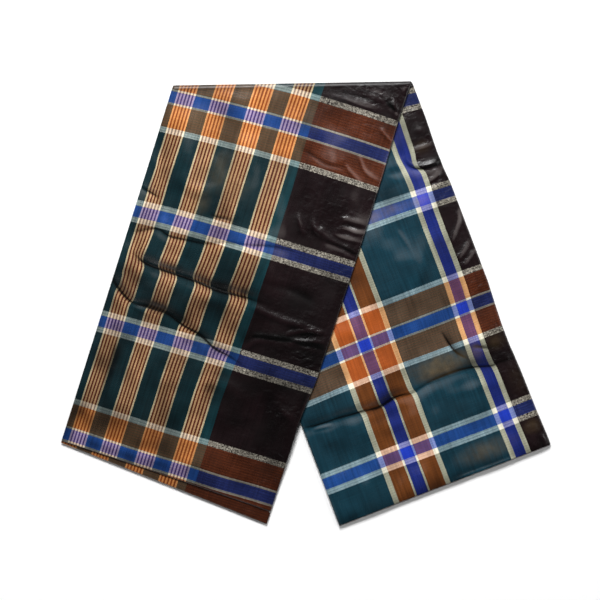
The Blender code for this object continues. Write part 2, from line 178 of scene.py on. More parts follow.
@dataclass(frozen=True)
class Wrinkle:
    """One crease, with its own size.

    Args:
        arm: The arm that it lies on.
        fold: How it stands.
        height: Its height in millimetres.
        width: How far it reaches to each side, in millimetres.
        jog: How far the cloth's stripes step sideways at it, in millimetres.
        points: Its line, as x, y and its strength there from 0 to 1.
    """

    arm: Arm
    fold: Fold
    height: float
    width: float
    jog: float
    points: tuple[tuple[float, float, float], ...]

    def line(self) -> Numbers:
        """Returns the line as a smooth curve with four runs between each two points."""
        spots = np.array(self.points)
        spots = np.vstack([2 * spots[0] - spots[1], spots, 2 * spots[-1] - spots[-2]])
        spots[:, 2] = np.clip(spots[:, 2], 0.0, 1.0)
        curve = []
        for start in range(1, len(spots) - 2):
            before, here, there, after = spots[start - 1:start + 3]
            for part in (0.0, 0.25, 0.5, 0.75):
                bend = (there - before) * part + (2 * before - 5 * here + 4 * there - after) * part**2
                curve.append(here + 0.5 * (bend + (3 * here - before - 3 * there + after) * part**3))
        return np.array([*curve, spots[-2]])

    def profile(self, aside: Numbers) -> Numbers:
        """Height of the crease's section.

        Args:
            aside: Distances from its line, positive on the side of the fold, in millimetres.

        Returns:
            Shares of its height.
        """
        reach = aside / self.width
        if self.fold is Fold.RIDGE:
            return np.exp(-(reach**2))
        if self.fold is Fold.TROUGH:
            return -np.exp(-(reach**2))
        cleft = 1.0 - np.exp(-((np.maximum(aside, 0.0) / TUCK_GROOVE) ** 2))
        above = np.exp(-((np.maximum(reach, 0.0) * TUCK_FALL) ** 2))
        return cleft * above + TUCK_SWELL * self.behind(reach)

    @staticmethod
    def behind(reach: Numbers) -> Numbers:
        """Share by which a place lies on the crease's side away from the fold."""
        return np.exp(-(((reach + 1.3) / 0.8) ** 2))

    def lift(self, x: Numbers, y: Numbers) -> tuple[Numbers, Numbers, Numbers]:
        """Measures the crease at points of the plan.

        Args:
            x: Plan places in millimetres.
            y: Plan places in millimetres.

        Returns:
            Its height there in millimetres, how far it pushes the stripes sideways in millimetres,
            and its painted light, from painted shade of 1 deep in its cleft to painted highlight below 0 where
            the glaze is bright.
        """
        rise, push, tone = np.zeros_like(x), np.zeros_like(x), np.zeros_like(x)
        line = self.line()
        margin = max(3.0 * self.width, JOG_REACH * 3.0 if self.jog else 0.0)
        low, high = line[:, :2].min(0) - margin, line[:, :2].max(0) + margin
        near = (x > low[0]) & (x < high[0]) & (y > low[1]) & (y < high[1])
        px, py = x[near], y[near]
        best = np.full(px.shape, 1e9)
        aside, strength = np.zeros_like(px), np.zeros_like(px)
        for start, end in zip(line, line[1:]):
            run = end[:2] - start[:2]
            length = max(float(np.hypot(*run)), 1e-6)
            part = np.clip(((px - start[0]) * run[0] + (py - start[1]) * run[1]) / length**2, 0.0, 1.0)
            gap_x, gap_y = px - start[0] - run[0] * part, py - start[1] - run[1] * part
            distance = np.hypot(gap_x, gap_y)
            closer = distance < best
            best = np.where(closer, distance, best)
            side = np.where(run[0] * gap_y - run[1] * gap_x > 0.0, 1.0, -1.0)
            aside = np.where(closer, distance * side, aside)
            strength = np.where(closer, lerp(start[2], end[2], part), strength)
        rise[near] = self.height * strength * self.profile(aside)
        away = np.abs(aside)
        step = np.sign(aside) * (1.0 - np.exp(-away / JOG_SOFT)) * np.exp(-away / JOG_REACH)
        push[near] = -self.jog * strength * step
        tone[near] = strength * self.tone(aside)
        return rise, push, tone

    def tone(self, aside: Numbers) -> Numbers:
        """Painted shade and highlight of the cloth at distances from the crease's line."""
        reach = aside / self.width
        if self.fold is Fold.TUCK:
            deep = min(self.height, FULL_TUCK) / FULL_TUCK
            above = SHADE_ABOVE_TUCK * np.exp(-((reach - 0.8) ** 2))
            below = HIGHLIGHT_BELOW_TUCK * np.exp(-((reach + 1.1) ** 2))
            # Painted shade in the cleft and above the tuck, and painted highlight below it.
            return np.exp(-((aside / CLEFT_SHADE) ** 2)) + deep * (above - below)
        # Painted shade on a ridge's far side and painted highlight on its crest; a trough has them the other
        # way round.
        depth = min(SHARP_WIDTH / self.width, 1.0) * (1.0 if self.fold is Fold.RIDGE else -1.0)
        return depth * (RIDGE_SHADE * self.behind(reach) - RIDGE_CREST_HIGHLIGHT * np.exp(-(reach**2)))


@dataclass(frozen=True)
class Band:
    """One arm from above, and how the cloth's cross stripes run on it.

    Args:
        fold_left: Corner at the fold.
        fold_right: Corner at the fold.
        end_left: Corner at the end.
        end_right: Corner at the end.
        lean: How far its stations lean across the band.
        start: Distance from the fold's line to its first station, in millimetres.
        bow: Shares along it, and how far its right edge swings out there, in millimetres.
        weft_rows: Places on the cloth in millimetres, and the shares along the arm's left and
            right edge where they lie.
    """

    fold_left: Point
    fold_right: Point
    end_left: Point
    end_right: Point
    lean: float
    start: float
    bow: tuple[Point, ...]
    weft_rows: tuple[tuple[float, float, float], ...]

    def plan(self, across: Numbers, along: Numbers) -> tuple[Numbers, Numbers]:
        """Plan point at a share across the band and a share along it from the fold."""
        down = np.subtract(self.end_right, self.fold_right)
        down = down / np.hypot(*down)
        swing = np.interp(along, *zip(*self.bow))
        outward = (-down[1], down[0])
        spots = []
        for axis in (0, 1):
            left = lerp(self.fold_left[axis], self.end_left[axis], along)
            right = lerp(self.fold_right[axis], self.end_right[axis], along) + swing * outward[axis]
            spots.append(lerp(left, right, across))
        return spots[0], spots[1]

    def length(self, across: Numbers) -> Numbers:
        """Length of the arm along one of its columns."""
        start_x, start_y = self.plan(across, 0.0)
        end_x, end_y = self.plan(across, 1.0)
        return np.hypot(end_x - start_x, end_y - start_y)

    def weft_way(self, across: Numbers, along: Numbers) -> Numbers:
        """Place on the cloth along its warp, in millimetres, at a share across and along the arm."""
        way = np.zeros_like(across * along)
        for first, second in zip(self.weft_rows, self.weft_rows[1:]):
            here = lerp(first[1], first[2], across)
            there = lerp(second[1], second[2], across)
            on_run = lerp(first[0], second[0], (along - here) / (there - here))
            way = on_run if first is self.weft_rows[0] else np.where(along >= here, on_run, way)
        return way


FOLD_LEFT = (-178.9, 294.8)
FOLD_RIGHT = (143.5, 300.4)
BANDS = {
    Arm.OVER: Band(
        FOLD_LEFT, FOLD_RIGHT, (-330.9, -187.8), (-52.8, -298.2), 0.1, TURN_RADIUS,
        ((0, 0), (0.09, -0.5), (0.2, 2.0), (0.3, 3.4), (0.43, 4.2), (0.6, 3.8), (0.68, 3.4),
         (0.72, 1.0), (0.77, -0.8), (0.83, 0), (1, 0)),
        ((0, 0.0309, 0.1712), (160, 0.35, 0.4315), (320, 0.6573, 0.6785), (480, 0.9733, 0.9441)),
    ),
    Arm.UNDER: Band(
        FOLD_LEFT, FOLD_RIGHT, (45.4, -300.1), (331.1, -190.2), -0.03, TURN_RADIUS + GAP,
        ((0, 0), (0.1, 0), (0.15, -1.2), (0.19, -2.0), (0.24, -1.6), (0.28, 0), (0.55, -0.4),
         (0.6, -2.0), (0.66, -3.6), (0.72, -3.8), (0.79, -2.0), (0.9, -1.2), (0.97, 0), (1, 0)),
        ((-10, 0.1457, 0.0271), (24, 0.2104, 0.0918), (140, 0.3771, 0.2615), (160, 0.4152, 0.2996),
         (320, 0.6673, 0.5924), (480, 0.9064, 0.8886), (539, 1.0, 1.0)),
    ),
}

# Creases, as arm, form, height, width, jog of the stripes, and line with its strength.
WRINKLES = (
    Wrinkle(Arm.OVER, Fold.TUCK, 1.4, 8.0, 4.6, ((-236, 74, 0), (-227, 63, 0.5), (-216, 54, 0.9),
        (-193, 45, 1), (-169, 37, 0.95), (-146, 29, 1), (-121, 18, 0.9), (-97, 12, 0.8), (-75, 6, 0.5),
        (-59, 1, 0.15))),
    Wrinkle(Arm.OVER, Fold.RIDGE, 1.1, 4.5, 0.0, ((-73, -2, 0), (-65, -7, 0.7), (-32, -22, 1), (-4,
        -30, 0.9), (19, -38, 0.4), (30, -42, 0))),
    Wrinkle(Arm.OVER, Fold.TUCK, 1.0, 6.0, -2.6, ((-263, 43, 0), (-261, 33, 0.6), (-247, 13, 1),
        (-232, 0, 0.9), (-211, -5, 0.8), (-186, -14, 0.7), (-165, -30, 0.9), (-143, -42, 0.8), (-124,
        -60, 0.7), (-102, -72, 0.5), (-86, -83, 0.3), (-75, -90, 0))),
    Wrinkle(Arm.OVER, Fold.RIDGE, 1.0, 3.5, 0.0, ((-240, 5, 0), (-232, -2, 0.9), (-222, -7, 1),
        (-208, -13, 0))),
    Wrinkle(Arm.OVER, Fold.TUCK, 0.9, 6.0, 0.8, ((-234, 97, 0), (-227, 98, 0.5), (-209, 101, 0.8),
        (-197, 100, 1), (-184, 91, 1), (-157, 85, 0.8), (-134, 81, 0.6), (-107, 83, 0.6), (-79, 79,
        0.8), (-55, 78, 0.7), (-29, 74, 0.5), (-8, 67, 0))),
    Wrinkle(Arm.OVER, Fold.TUCK, 0.8, 4.0, 0.8, ((-227, 163, 0), (-222, 158, 0.7), (-213, 152, 1),
        (-203, 146, 0.8), (-196, 140, 0))),
    Wrinkle(Arm.OVER, Fold.TROUGH, 0.5, 3.0, 0.0, ((-132, 121, 0), (-121, 117, 1), (-105, 114, 0.8),
        (-94, 110, 0))),
    Wrinkle(Arm.OVER, Fold.TROUGH, 0.8, 6.0, 0.0, ((-69, 31, 0), (-42, 24, 0.7), (-19, 18, 0.8), (2,
        8, 0.7), (19, -6, 0))),
    Wrinkle(Arm.OVER, Fold.RIDGE, 1.0, 3.0, 0.0, ((-29, -45, 0), (-21, -40, 0.7), (-2, -37, 1), (17,
        -38, 0.8), (25, -40, 0))),
    Wrinkle(Arm.OVER, Fold.RIDGE, 0.8, 3.0, 0.0, ((-24, -57, 0), (-16, -52, 0.8), (6, -51, 1), (23,
        -52, 0.6), (27, -53, 0))),
    Wrinkle(Arm.OVER, Fold.TUCK, 0.9, 4.0, 0.0, ((-75, -45, 0), (-65, -45, 0.8), (-42, -48, 1),
        (-19, -51, 0.9), (8, -57, 0.9), (22, -61, 0.4), (26, -63, 0))),
    Wrinkle(Arm.OVER, Fold.RIDGE, 0.6, 4.0, 0.0, ((-89, -63, 0), (-79, -57, 1), (-67, -51, 0.8),
        (-51, -49, 0))),
    Wrinkle(Arm.OVER, Fold.RIDGE, 0.8, 5.0, 0.0, ((-36, -136, 0), (-28, -147, 1), (-17, -156, 0.6),
        (-10, -167, 0))),
    Wrinkle(Arm.OVER, Fold.RIDGE, 1.1, 3.0, 0.0, ((8, -117, 0), (4, -126, 0.8), (-1, -139, 1), (-6,
        -153, 0.4), (-9, -163, 0))),
    Wrinkle(Arm.OVER, Fold.RIDGE, 1.6, 4.0, 0.0, ((14, 117, 0), (11, 109, 0.8), (15, 98, 1), (25,
        89, 0.6), (33, 82, 0))),
    Wrinkle(Arm.OVER, Fold.RIDGE, 1.3, 3.5, 0.0, ((-9, 124, 0), (-8, 112, 1), (-4, 98, 0.8), (-1,
        90, 0))),
    Wrinkle(Arm.OVER, Fold.RIDGE, 1.0, 3.5, 0.0, ((45, 110, 0), (54, 114, 1), (63, 112, 0.8), (75,
        110, 0.6), (84, 108, 0))),
    Wrinkle(Arm.OVER, Fold.RIDGE, 0.8, 3.0, 0.0, ((42, 101, 0), (54, 102, 0.8), (68, 97, 1), (80,
        96, 0.4), (86, 94, 0))),
    Wrinkle(Arm.OVER, Fold.TUCK, 1.0, 4.0, 0.0, ((19, 87, 0), (33, 82, 0.8), (50, 75, 1), (65, 67,
        0.9), (73, 62, 0.3), (77, 59, 0))),
    Wrinkle(Arm.OVER, Fold.TROUGH, 0.6, 3.0, 0.0, ((44, 106, 0), (57, 105, 1), (73, 102, 0.8), (86,
        102, 0))),
    Wrinkle(Arm.OVER, Fold.RIDGE, 0.8, 3.0, 0.0, ((33, 96, 0), (46, 91, 1), (63, 86, 0.9), (76, 83,
        0.2), (80, 82, 0))),
    Wrinkle(Arm.OVER, Fold.RIDGE, 1.2, 4.0, 0.0, ((10, 106, 0), (22, 98, 1), (37, 85, 0.6), (44, 78,
        0))),
    Wrinkle(Arm.OVER, Fold.RIDGE, 1.1, 3.0, 0.0, ((71, 201, 0), (75, 193, 0.9), (79, 182, 1), (86,
        174, 1), (98, 167, 0.4), (105, 165, 0))),
    Wrinkle(Arm.OVER, Fold.RIDGE, 1.0, 3.0, 0.0, ((52, 189, 0), (57, 183, 0.9), (65, 174, 1), (72,
        166, 0.7), (76, 159, 0))),
    Wrinkle(Arm.OVER, Fold.RIDGE, 0.8, 2.5, 0.0, ((99, 238, 0), (105, 231, 1), (115, 220, 0.8),
        (121, 215, 0))),
    Wrinkle(Arm.OVER, Fold.TROUGH, 0.5, 2.5, 0.0, ((-8, 209, 0), (8, 201, 0.8), (27, 189, 1), (46,
        185, 0.8), (64, 182, 0))),
    Wrinkle(Arm.OVER, Fold.RIDGE, 0.6, 5.0, 0.0, ((34, 208, 0), (37, 198, 0.5), (38, 188, 0.25), (40,
        179, 0))),
    Wrinkle(Arm.OVER, Fold.RIDGE, 0.6, 3.5, 0.0, ((17, 294, 0), (46, 289, 0.35), (80, 281, 0.5), (99,
        273, 0.35), (111, 265, 0))),
    Wrinkle(Arm.OVER, Fold.RIDGE, 0.4, 2.5, 0.0, ((17, 298, 0), (53, 295, 0.35), (90, 288, 0.7), (111,
        280, 0.42), (126, 273, 0))),
    Wrinkle(Arm.OVER, Fold.RIDGE, 0.4, 2.5, 0.0, ((14, 286, 0), (46, 278, 0.63), (82, 266, 0.56),
        (111, 257, 0))),
    Wrinkle(Arm.OVER, Fold.TROUGH, 0.7, 3.5, 0.0, ((30, 290, 0), (60, 284, 0.8), (92, 273, 1), (114,
        263, 0))),
    Wrinkle(Arm.OVER, Fold.TUCK, 1.0, 3.5, 0.0, ((105, 278, 0), (111, 269, 0.8), (119, 262, 1),
        (128, 257, 0.5), (132, 254, 0))),
    Wrinkle(Arm.OVER, Fold.RIDGE, 1.0, 3.0, 0.0, ((128, 282, 0), (133, 289, 1), (138, 294, 0.6),
        (141, 297, 0))),
    Wrinkle(Arm.OVER, Fold.RIDGE, 1.0, 2.5, 0.0, ((118, 280, 0), (119, 271, 0.9), (122, 261, 1),
        (122, 251, 0))),
    Wrinkle(Arm.OVER, Fold.RIDGE, 1.0, 9.0, 0.0, ((-136, 205, 0), (-121, 188, 1), (-113, 167, 1),
        (-111, 143, 0))),
    Wrinkle(Arm.OVER, Fold.RIDGE, 0.8, 7.0, 0.0, ((-167, 175, 0), (-157, 159, 1), (-136, 154, 0.9),
        (-120, 156, 0.5), (-108, 163, 0))),
    Wrinkle(Arm.OVER, Fold.RIDGE, 0.9, 8.0, 1.2, ((-208, 213, 0), (-200, 192, 1), (-197, 165, 0.8),
        (-203, 140, 0))),
    Wrinkle(Arm.OVER, Fold.TROUGH, 0.8, 9.0, 0.0, ((-59, 235, 0), (-51, 194, 1), (-59, 154, 0.9),
        (-73, 121, 0))),
    Wrinkle(Arm.OVER, Fold.RIDGE, 0.7, 8.0, 0.0, ((-157, -120, 0), (-138, -103, 1), (-108, -109,
        0.9), (-81, -128, 0.5), (-65, -147, 0))),
    Wrinkle(Arm.OVER, Fold.RIDGE, 0.8, 9.0, 0.0, ((-284, -36, 0), (-289, -65, 1), (-297, -98, 0.9),
        (-311, -130, 0))),
    Wrinkle(Arm.OVER, Fold.TROUGH, 0.7, 7.0, 0.0, ((-251, -36, 0), (-257, -71, 1), (-268, -106,
        0.9), (-278, -136, 0))),
    Wrinkle(Arm.OVER, Fold.RIDGE, 0.6, 6.0, 0.0, ((-324, -171, 0), (-292, -179, 0.8), (-251, -194,
        1), (-197, -209, 0.8), (-143, -229, 0))),
    Wrinkle(Arm.UNDER, Fold.TUCK, 2.2, 6.0, 5.0, ((130, 197, 0), (140, 186, 0.6), (152, 182, 1),
        (163, 183, 1), (178, 188, 1), (184, 194, 0.8), (190, 200, 0.3))),
    Wrinkle(Arm.UNDER, Fold.RIDGE, 1.0, 3.5, 0.0, ((141, 206, 0), (149, 209, 0.9), (160, 212, 1),
        (169, 216, 0.7), (175, 219, 0))),
    Wrinkle(Arm.UNDER, Fold.RIDGE, 0.8, 5.0, 0.0, ((144, 235, 0), (153, 234, 1), (164, 238, 0.6),
        (171, 242, 0))),
    Wrinkle(Arm.UNDER, Fold.RIDGE, 1.2, 3.0, 0.0, ((159, 163, 0), (168, 167, 1), (178, 174, 0.9),
        (184, 182, 0))),
    Wrinkle(Arm.UNDER, Fold.RIDGE, 0.8, 3.0, 0.0, ((163, 156, 0), (174, 159, 1), (186, 165, 0.4),
        (190, 167, 0))),
    Wrinkle(Arm.UNDER, Fold.RIDGE, 0.5, 5.0, 0.0, ((109, 166, 0), (122, 169, 0.4), (133, 173, 0.28),
        (140, 179, 0))),
    Wrinkle(Arm.UNDER, Fold.TROUGH, 0.4, 5.0, 0.0, ((106, 179, 0), (117, 179, 1), (128, 182, 0.8),
        (136, 188, 0))),
    Wrinkle(Arm.UNDER, Fold.RIDGE, 1.2, 3.0, 0.0, ((209, 137, 0), (207, 124, 0.8), (207, 112, 1),
        (201, 94, 1), (197, 82, 0.5), (192, 73, 0))),
    Wrinkle(Arm.UNDER, Fold.RIDGE, 1.2, 3.0, 0.0, ((222, 90, 0), (217, 78, 0.9), (210, 66, 1), (203,
        55, 0))),
    Wrinkle(Arm.UNDER, Fold.RIDGE, 1.0, 2.5, 0.0, ((233, 79, 0), (228, 73, 0.8), (218, 58, 1), (210,
        48, 0))),
    Wrinkle(Arm.UNDER, Fold.RIDGE, 0.6, 3.0, 0.0, ((122, 104, 0), (129, 94, 0.36), (138, 81, 0.28),
        (149, 62, 0))),
    Wrinkle(Arm.UNDER, Fold.TUCK, 1.2, 7.0, 2.6, ((-10, -168, 0), (8, -166, 0.8), (29, -160, 1),
        (43, -155, 0.9), (65, -149, 1), (79, -145, 0.9), (99, -140, 0.9), (122, -126, 1), (142, -121,
        0.8), (155, -113, 0.8), (172, -103, 0.9), (203, -91, 1), (226, -86, 0.6), (251, -84, 0.6), (259,
        -80, 0.5), (275, -75, 0.5), (284, -71, 0))),
    Wrinkle(Arm.UNDER, Fold.TUCK, 0.9, 4.0, 0.0, ((182, -36, 0), (186, -42, 0.7), (194, -55, 1),
        (203, -66, 0.9), (214, -72, 0.5), (221, -75, 0))),
    Wrinkle(Arm.UNDER, Fold.TROUGH, 0.7, 3.0, 0.0, ((222, -60, 0), (230, -58, 1), (241, -59, 0.9),
        (249, -59, 0.6), (257, -57, 0.5), (266, -56, 0))),
    Wrinkle(Arm.UNDER, Fold.RIDGE, 1.0, 2.5, 0.0, ((7, -170, 0), (18, -167, 1), (30, -164, 0.8),
        (38, -162, 0))),
    Wrinkle(Arm.UNDER, Fold.RIDGE, 0.8, 8.0, 0.0, ((63, -174, 0), (90, -168, 1), (122, -159, 0.9),
        (152, -141, 0))),
    Wrinkle(Arm.UNDER, Fold.RIDGE, 0.7, 7.0, 0.0, ((182, -128, 0), (211, -114, 1), (244, -106, 0.9),
        (274, -101, 0))),
    Wrinkle(Arm.UNDER, Fold.RIDGE, 1.2, 4.0, 0.0, ((314, -172, 0), (321, -180, 1), (325, -189, 0.5),
        (326, -194, 0))),
    Wrinkle(Arm.UNDER, Fold.RIDGE, 1.4, 3.0, 0.0, ((190, -244, 0), (215, -233, 0.8), (249, -221, 1),
        (278, -210, 0.7), (291, -205, 0))),
    Wrinkle(Arm.UNDER, Fold.TROUGH, 0.8, 8.0, 0.0, ((155, 86, 0), (165, 56, 1), (157, 27, 0.8),
        (141, 5, 0))),
)

# Height that the top leaves stand clear of those below, and how far they may sink.
LIFT = 0.75
LEAST_RISE = -0.2
# Over how far the waves die out at the edges and at the turn.
EDGE_SETTLE = 12.0
TURN_SETTLE = 22.0
# The under arm stays flat this far past the over arm's right edge, and rises over this distance.
OVER_CLEARANCE = 1.0
CLEARANCE_FADE = 9.0

# Soft waves all over the cloth: height, length and seed.
WAVES = ((0.7, 46.0, 11), (0.3, 21.0, 12), (0.12, 10.0, 13))
# Waves of the stripes sideways and lengthwise: reach, length and seed.
STRIPE_WAVES = ((0.9, 70.0, 21), (0.8, 60.0, 22))
# Random patches of painted soft shade and highlight all over the cloth: strength, length and seed.
PAINTED_LIGHT_WAVES = ((0.34, 38.0, 14), (0.24, 16.0, 15))
# Painted shade of the over arm, slightly lighter near the fold and darker near its end, and the levels between
# which it changes.
OVER_PAINTED_SHADE = (-0.05, 0.34)
OVER_PAINTED_SHADE_SPAN = (170.0, -60.0)
# Painted shade beside the turn: how much darker the cloth is painted there, and how far down, in millimetres.
TURN_PAINTED_SHADE = (0.6, 9.0)
# Painted shade of the under arm's rolled end: how much darker it is painted, and how far up, in millimetres.
END_ROLL_SHADE = (0.5, 11.0)
# How far the glaze is dull beside the turn, in millimetres, and how much rougher it is there.
TURN_DULL = 6.0
TURN_ROUGHNESS = 0.4


def drape_height(x: Numbers, y: Numbers) -> Numbers:
    """Height of the over arm's underside: on the under arm, then down to the floor beside it."""
    under = BANDS[Arm.UNDER]
    beyond = side_of_line(x, y, under.end_left, under.fold_left)
    fall = np.clip((beyond - DRAPE_LEVEL) / DRAPE_FALL, 0.0, 1.0)
    return (PACK + GAP) * 0.5 * (1.0 + np.cos(math.pi * fall))


def clear_of_over(x: Numbers, y: Numbers) -> Numbers:
    """Share to which the under arm's top may rise, from 0 beside the over arm's right edge to 1."""
    over = BANDS[Arm.OVER]
    run = np.subtract(over.end_right, over.fold_right)
    share = ((x - over.fold_right[0]) * run[0] + (y - over.fold_right[1]) * run[1]) / (run @ run)
    outside = -side_of_line(x, y, over.end_right, over.fold_right) - np.interp(share, *zip(*over.bow))
    return smooth_step((outside - OVER_CLEARANCE) / CLEARANCE_FADE)


def relief(arm: Arm, x: Numbers, y: Numbers) -> tuple[Numbers, Numbers, Numbers, Numbers]:
    """Measures how an arm's top leaf rises and how its stripes stray.

    Args:
        arm: The arm.
        x: Plan places in millimetres.
        y: Plan places in millimetres.

    Returns:
        Height of its waves, height of its creases, sideways push of its stripes, and its painted shade and
        highlight.
    """
    waves = LIFT + sum(height * soft_noise(x, y, size, seed) for height, size, seed in WAVES)
    creases, push = np.zeros_like(x), STRIPE_WAVES[0][0] * soft_noise(x, y, *STRIPE_WAVES[0][1:])
    # Painted soft shade and highlight in random patches, then each crease's painted shade and highlight.
    tone = sum(strength * soft_noise(x, y, size, seed) for strength, size, seed in PAINTED_LIGHT_WAVES)
    for wrinkle in (wrinkle for wrinkle in WRINKLES if wrinkle.arm is arm):
        rise, jog, shade = wrinkle.lift(x, y)
        creases = creases + rise
        push = push + jog
        tone = tone + shade
    if arm is Arm.OVER:
        # Painted shade, darker towards the over arm's end.
        down = (OVER_PAINTED_SHADE_SPAN[0] - y) / (OVER_PAINTED_SHADE_SPAN[0] - OVER_PAINTED_SHADE_SPAN[1])
        tone = tone + lerp(*OVER_PAINTED_SHADE, smooth_step(down))
        # Painted shade beside the turn at the top.
        to_turn = side_of_line(x, y, FOLD_LEFT, FOLD_RIGHT)
        tone = tone + TURN_PAINTED_SHADE[0] * np.exp(-((to_turn / TURN_PAINTED_SHADE[1]) ** 2))
    else:
        clear = clear_of_over(x, y)
        waves, creases = waves * clear, creases * clear
        under = BANDS[arm]
        # Painted shade along the under arm's end.
        to_end = side_of_line(x, y, under.end_left, under.end_right)
        tone = tone + END_ROLL_SHADE[0] * np.exp(-((to_end / END_ROLL_SHADE[1]) ** 2))
    return waves, creases, push, tone


class ArmStation:
    """A cut across one arm, at a share along its left edge and a share along its right edge."""

    def __init__(self, arm: Arm, along: float, along_right: float | None = None) -> None:
        """Keeps the arm and the two shares, and measures the width of the cut."""
        self.arm = arm
        self.band = BANDS[arm]
        self.along = along
        self.along_right = along if along_right is None else along_right
        x, y = self.plan(np.array([0.0, 1.0]))
        self.width = float(np.hypot(x[1] - x[0], y[1] - y[0]))
        self.at_turn = float(smooth_step(self.along * self.band.length(0.5) / TURN_SETTLE))

    def share(self, across: Numbers, push: Numbers = 0.0) -> Numbers:
        """Share along the arm where the cut crosses a column, pushed on in millimetres."""
        station = lerp(self.along, self.along_right, across)
        leaning = station + self.band.lean * 4.0 * station * (1.0 - station) * (across - 0.5)
        length = self.band.length(across)
        return lerp(self.band.start / length, 1.0, leaning) + push / length

    def plan(self, across: Numbers, push: Numbers = 0.0) -> tuple[Numbers, Numbers]:
        """Plan point at a share across the band."""
        return self.band.plan(across, self.share(across, push))

    def place(self, aside: Numbers, height: Numbers, push: Numbers = 0.0) -> Numbers:
        """Points at distances from the left edge and heights above the arm's underside."""
        x, y = self.plan(aside / self.width, push)
        base = drape_height(x, y) if self.arm is Arm.OVER else 0.0
        return np.stack([x, y, base + height + 0.0 * x], -1)

    def weft_way(self, aside: Numbers) -> Numbers:
        """Places on the cloth along its warp, in millimetres."""
        across = aside / self.width
        return self.band.weft_way(across, self.share(across))


class TurnStation:
    """A cut across the turn at the top, where the under arm's cloth becomes the over arm's."""

    def __init__(self, angle: float) -> None:
        """Keeps the angle from the top of the turn."""
        self.arm = Arm.OVER
        self.angle = angle
        self.width = math.dist(FOLD_LEFT, FOLD_RIGHT)
        self.at_turn = 0.0

    def plan(self, across: Numbers, push: Numbers = 0.0) -> tuple[Numbers, Numbers]:
        """Plan point of the turn's outside at a share across the band."""
        spots = self.place(across * self.width, PACK)
        return spots[..., 0], spots[..., 1]

    def place(self, aside: Numbers, height: Numbers, push: Numbers = 0.0) -> Numbers:
        """Points at distances from the left edge and heights out from the turn's inside."""
        across = aside / self.width
        radius = height + GAP / 2
        back = TURN_RADIUS - radius * math.sin(self.angle)
        over, under = BANDS[Arm.OVER], BANDS[Arm.UNDER]
        on_over = over.plan(across, back / over.length(across))
        on_under = under.plan(across, back / under.length(across))
        twist = (1.0 - math.cos(self.angle)) / 2
        x, y = (lerp(on_over[axis], on_under[axis], twist) for axis in (0, 1))
        return np.stack([x, y, TURN_RADIUS + radius * math.cos(self.angle) + 0.0 * x], -1)

    def weft_way(self, aside: Numbers) -> Numbers:
        """Places on the cloth along its warp, in millimetres."""
        across = aside / self.width
        over = BANDS[Arm.OVER]
        return over.weft_way(across, TURN_RADIUS / over.length(across)) - self.angle * PACK


Station = ArmStation | TurnStation


def turn_stations(steps: int) -> list[Station]:
    """Stations round the turn, from the under arm's floor side up to just before the over arm."""
    return [TurnStation(math.pi * step / steps) for step in range(steps, 0, -1)]


def end_station(share: float) -> ArmStation:
    """Station between the second leaf's start, at 0, and the top leaf's slanting end, at 1."""
    over = BANDS[Arm.OVER]
    left_end = 1.0 - TOP_LEAF_SHORT_LEFT / over.length(0.0)
    right_end = 1.0 - TOP_LEAF_SHORT_RIGHT / over.length(1.0)
    left = lerp(SECOND_LEAF_START, left_end, share)
    return ArmStation(Arm.OVER, left, lerp(SECOND_LEAF_START, right_end, share))


def past_station(start: ArmStation, share: float, short: float = 0.0) -> ArmStation:
    """Station between a start station, at 0, and a line short of the arm's end, at 1."""
    last = 1.0 - short / BANDS[Arm.OVER].length(0.5)
    return ArmStation(Arm.OVER, lerp(start.along, last, share), lerp(start.along_right, last, share))


# Names of a piece's two maps: the place on the cloth in metres, and the one kept for baking.
CLOTH_MAP = "Cloth"
BAKE_MAP = "OFBake"
# Name of a piece's own values of painted shade and highlight, one for each point.
PAINTED_LIGHT = "PaintedLight"
# Parts of the bake map's height that hold the rings, the first cap and the last cap.
RINGS_PART = (0.0, 0.96)
FIRST_CAP_PART = (0.965, 0.98)
LAST_CAP_PART = (0.985, 1.0)


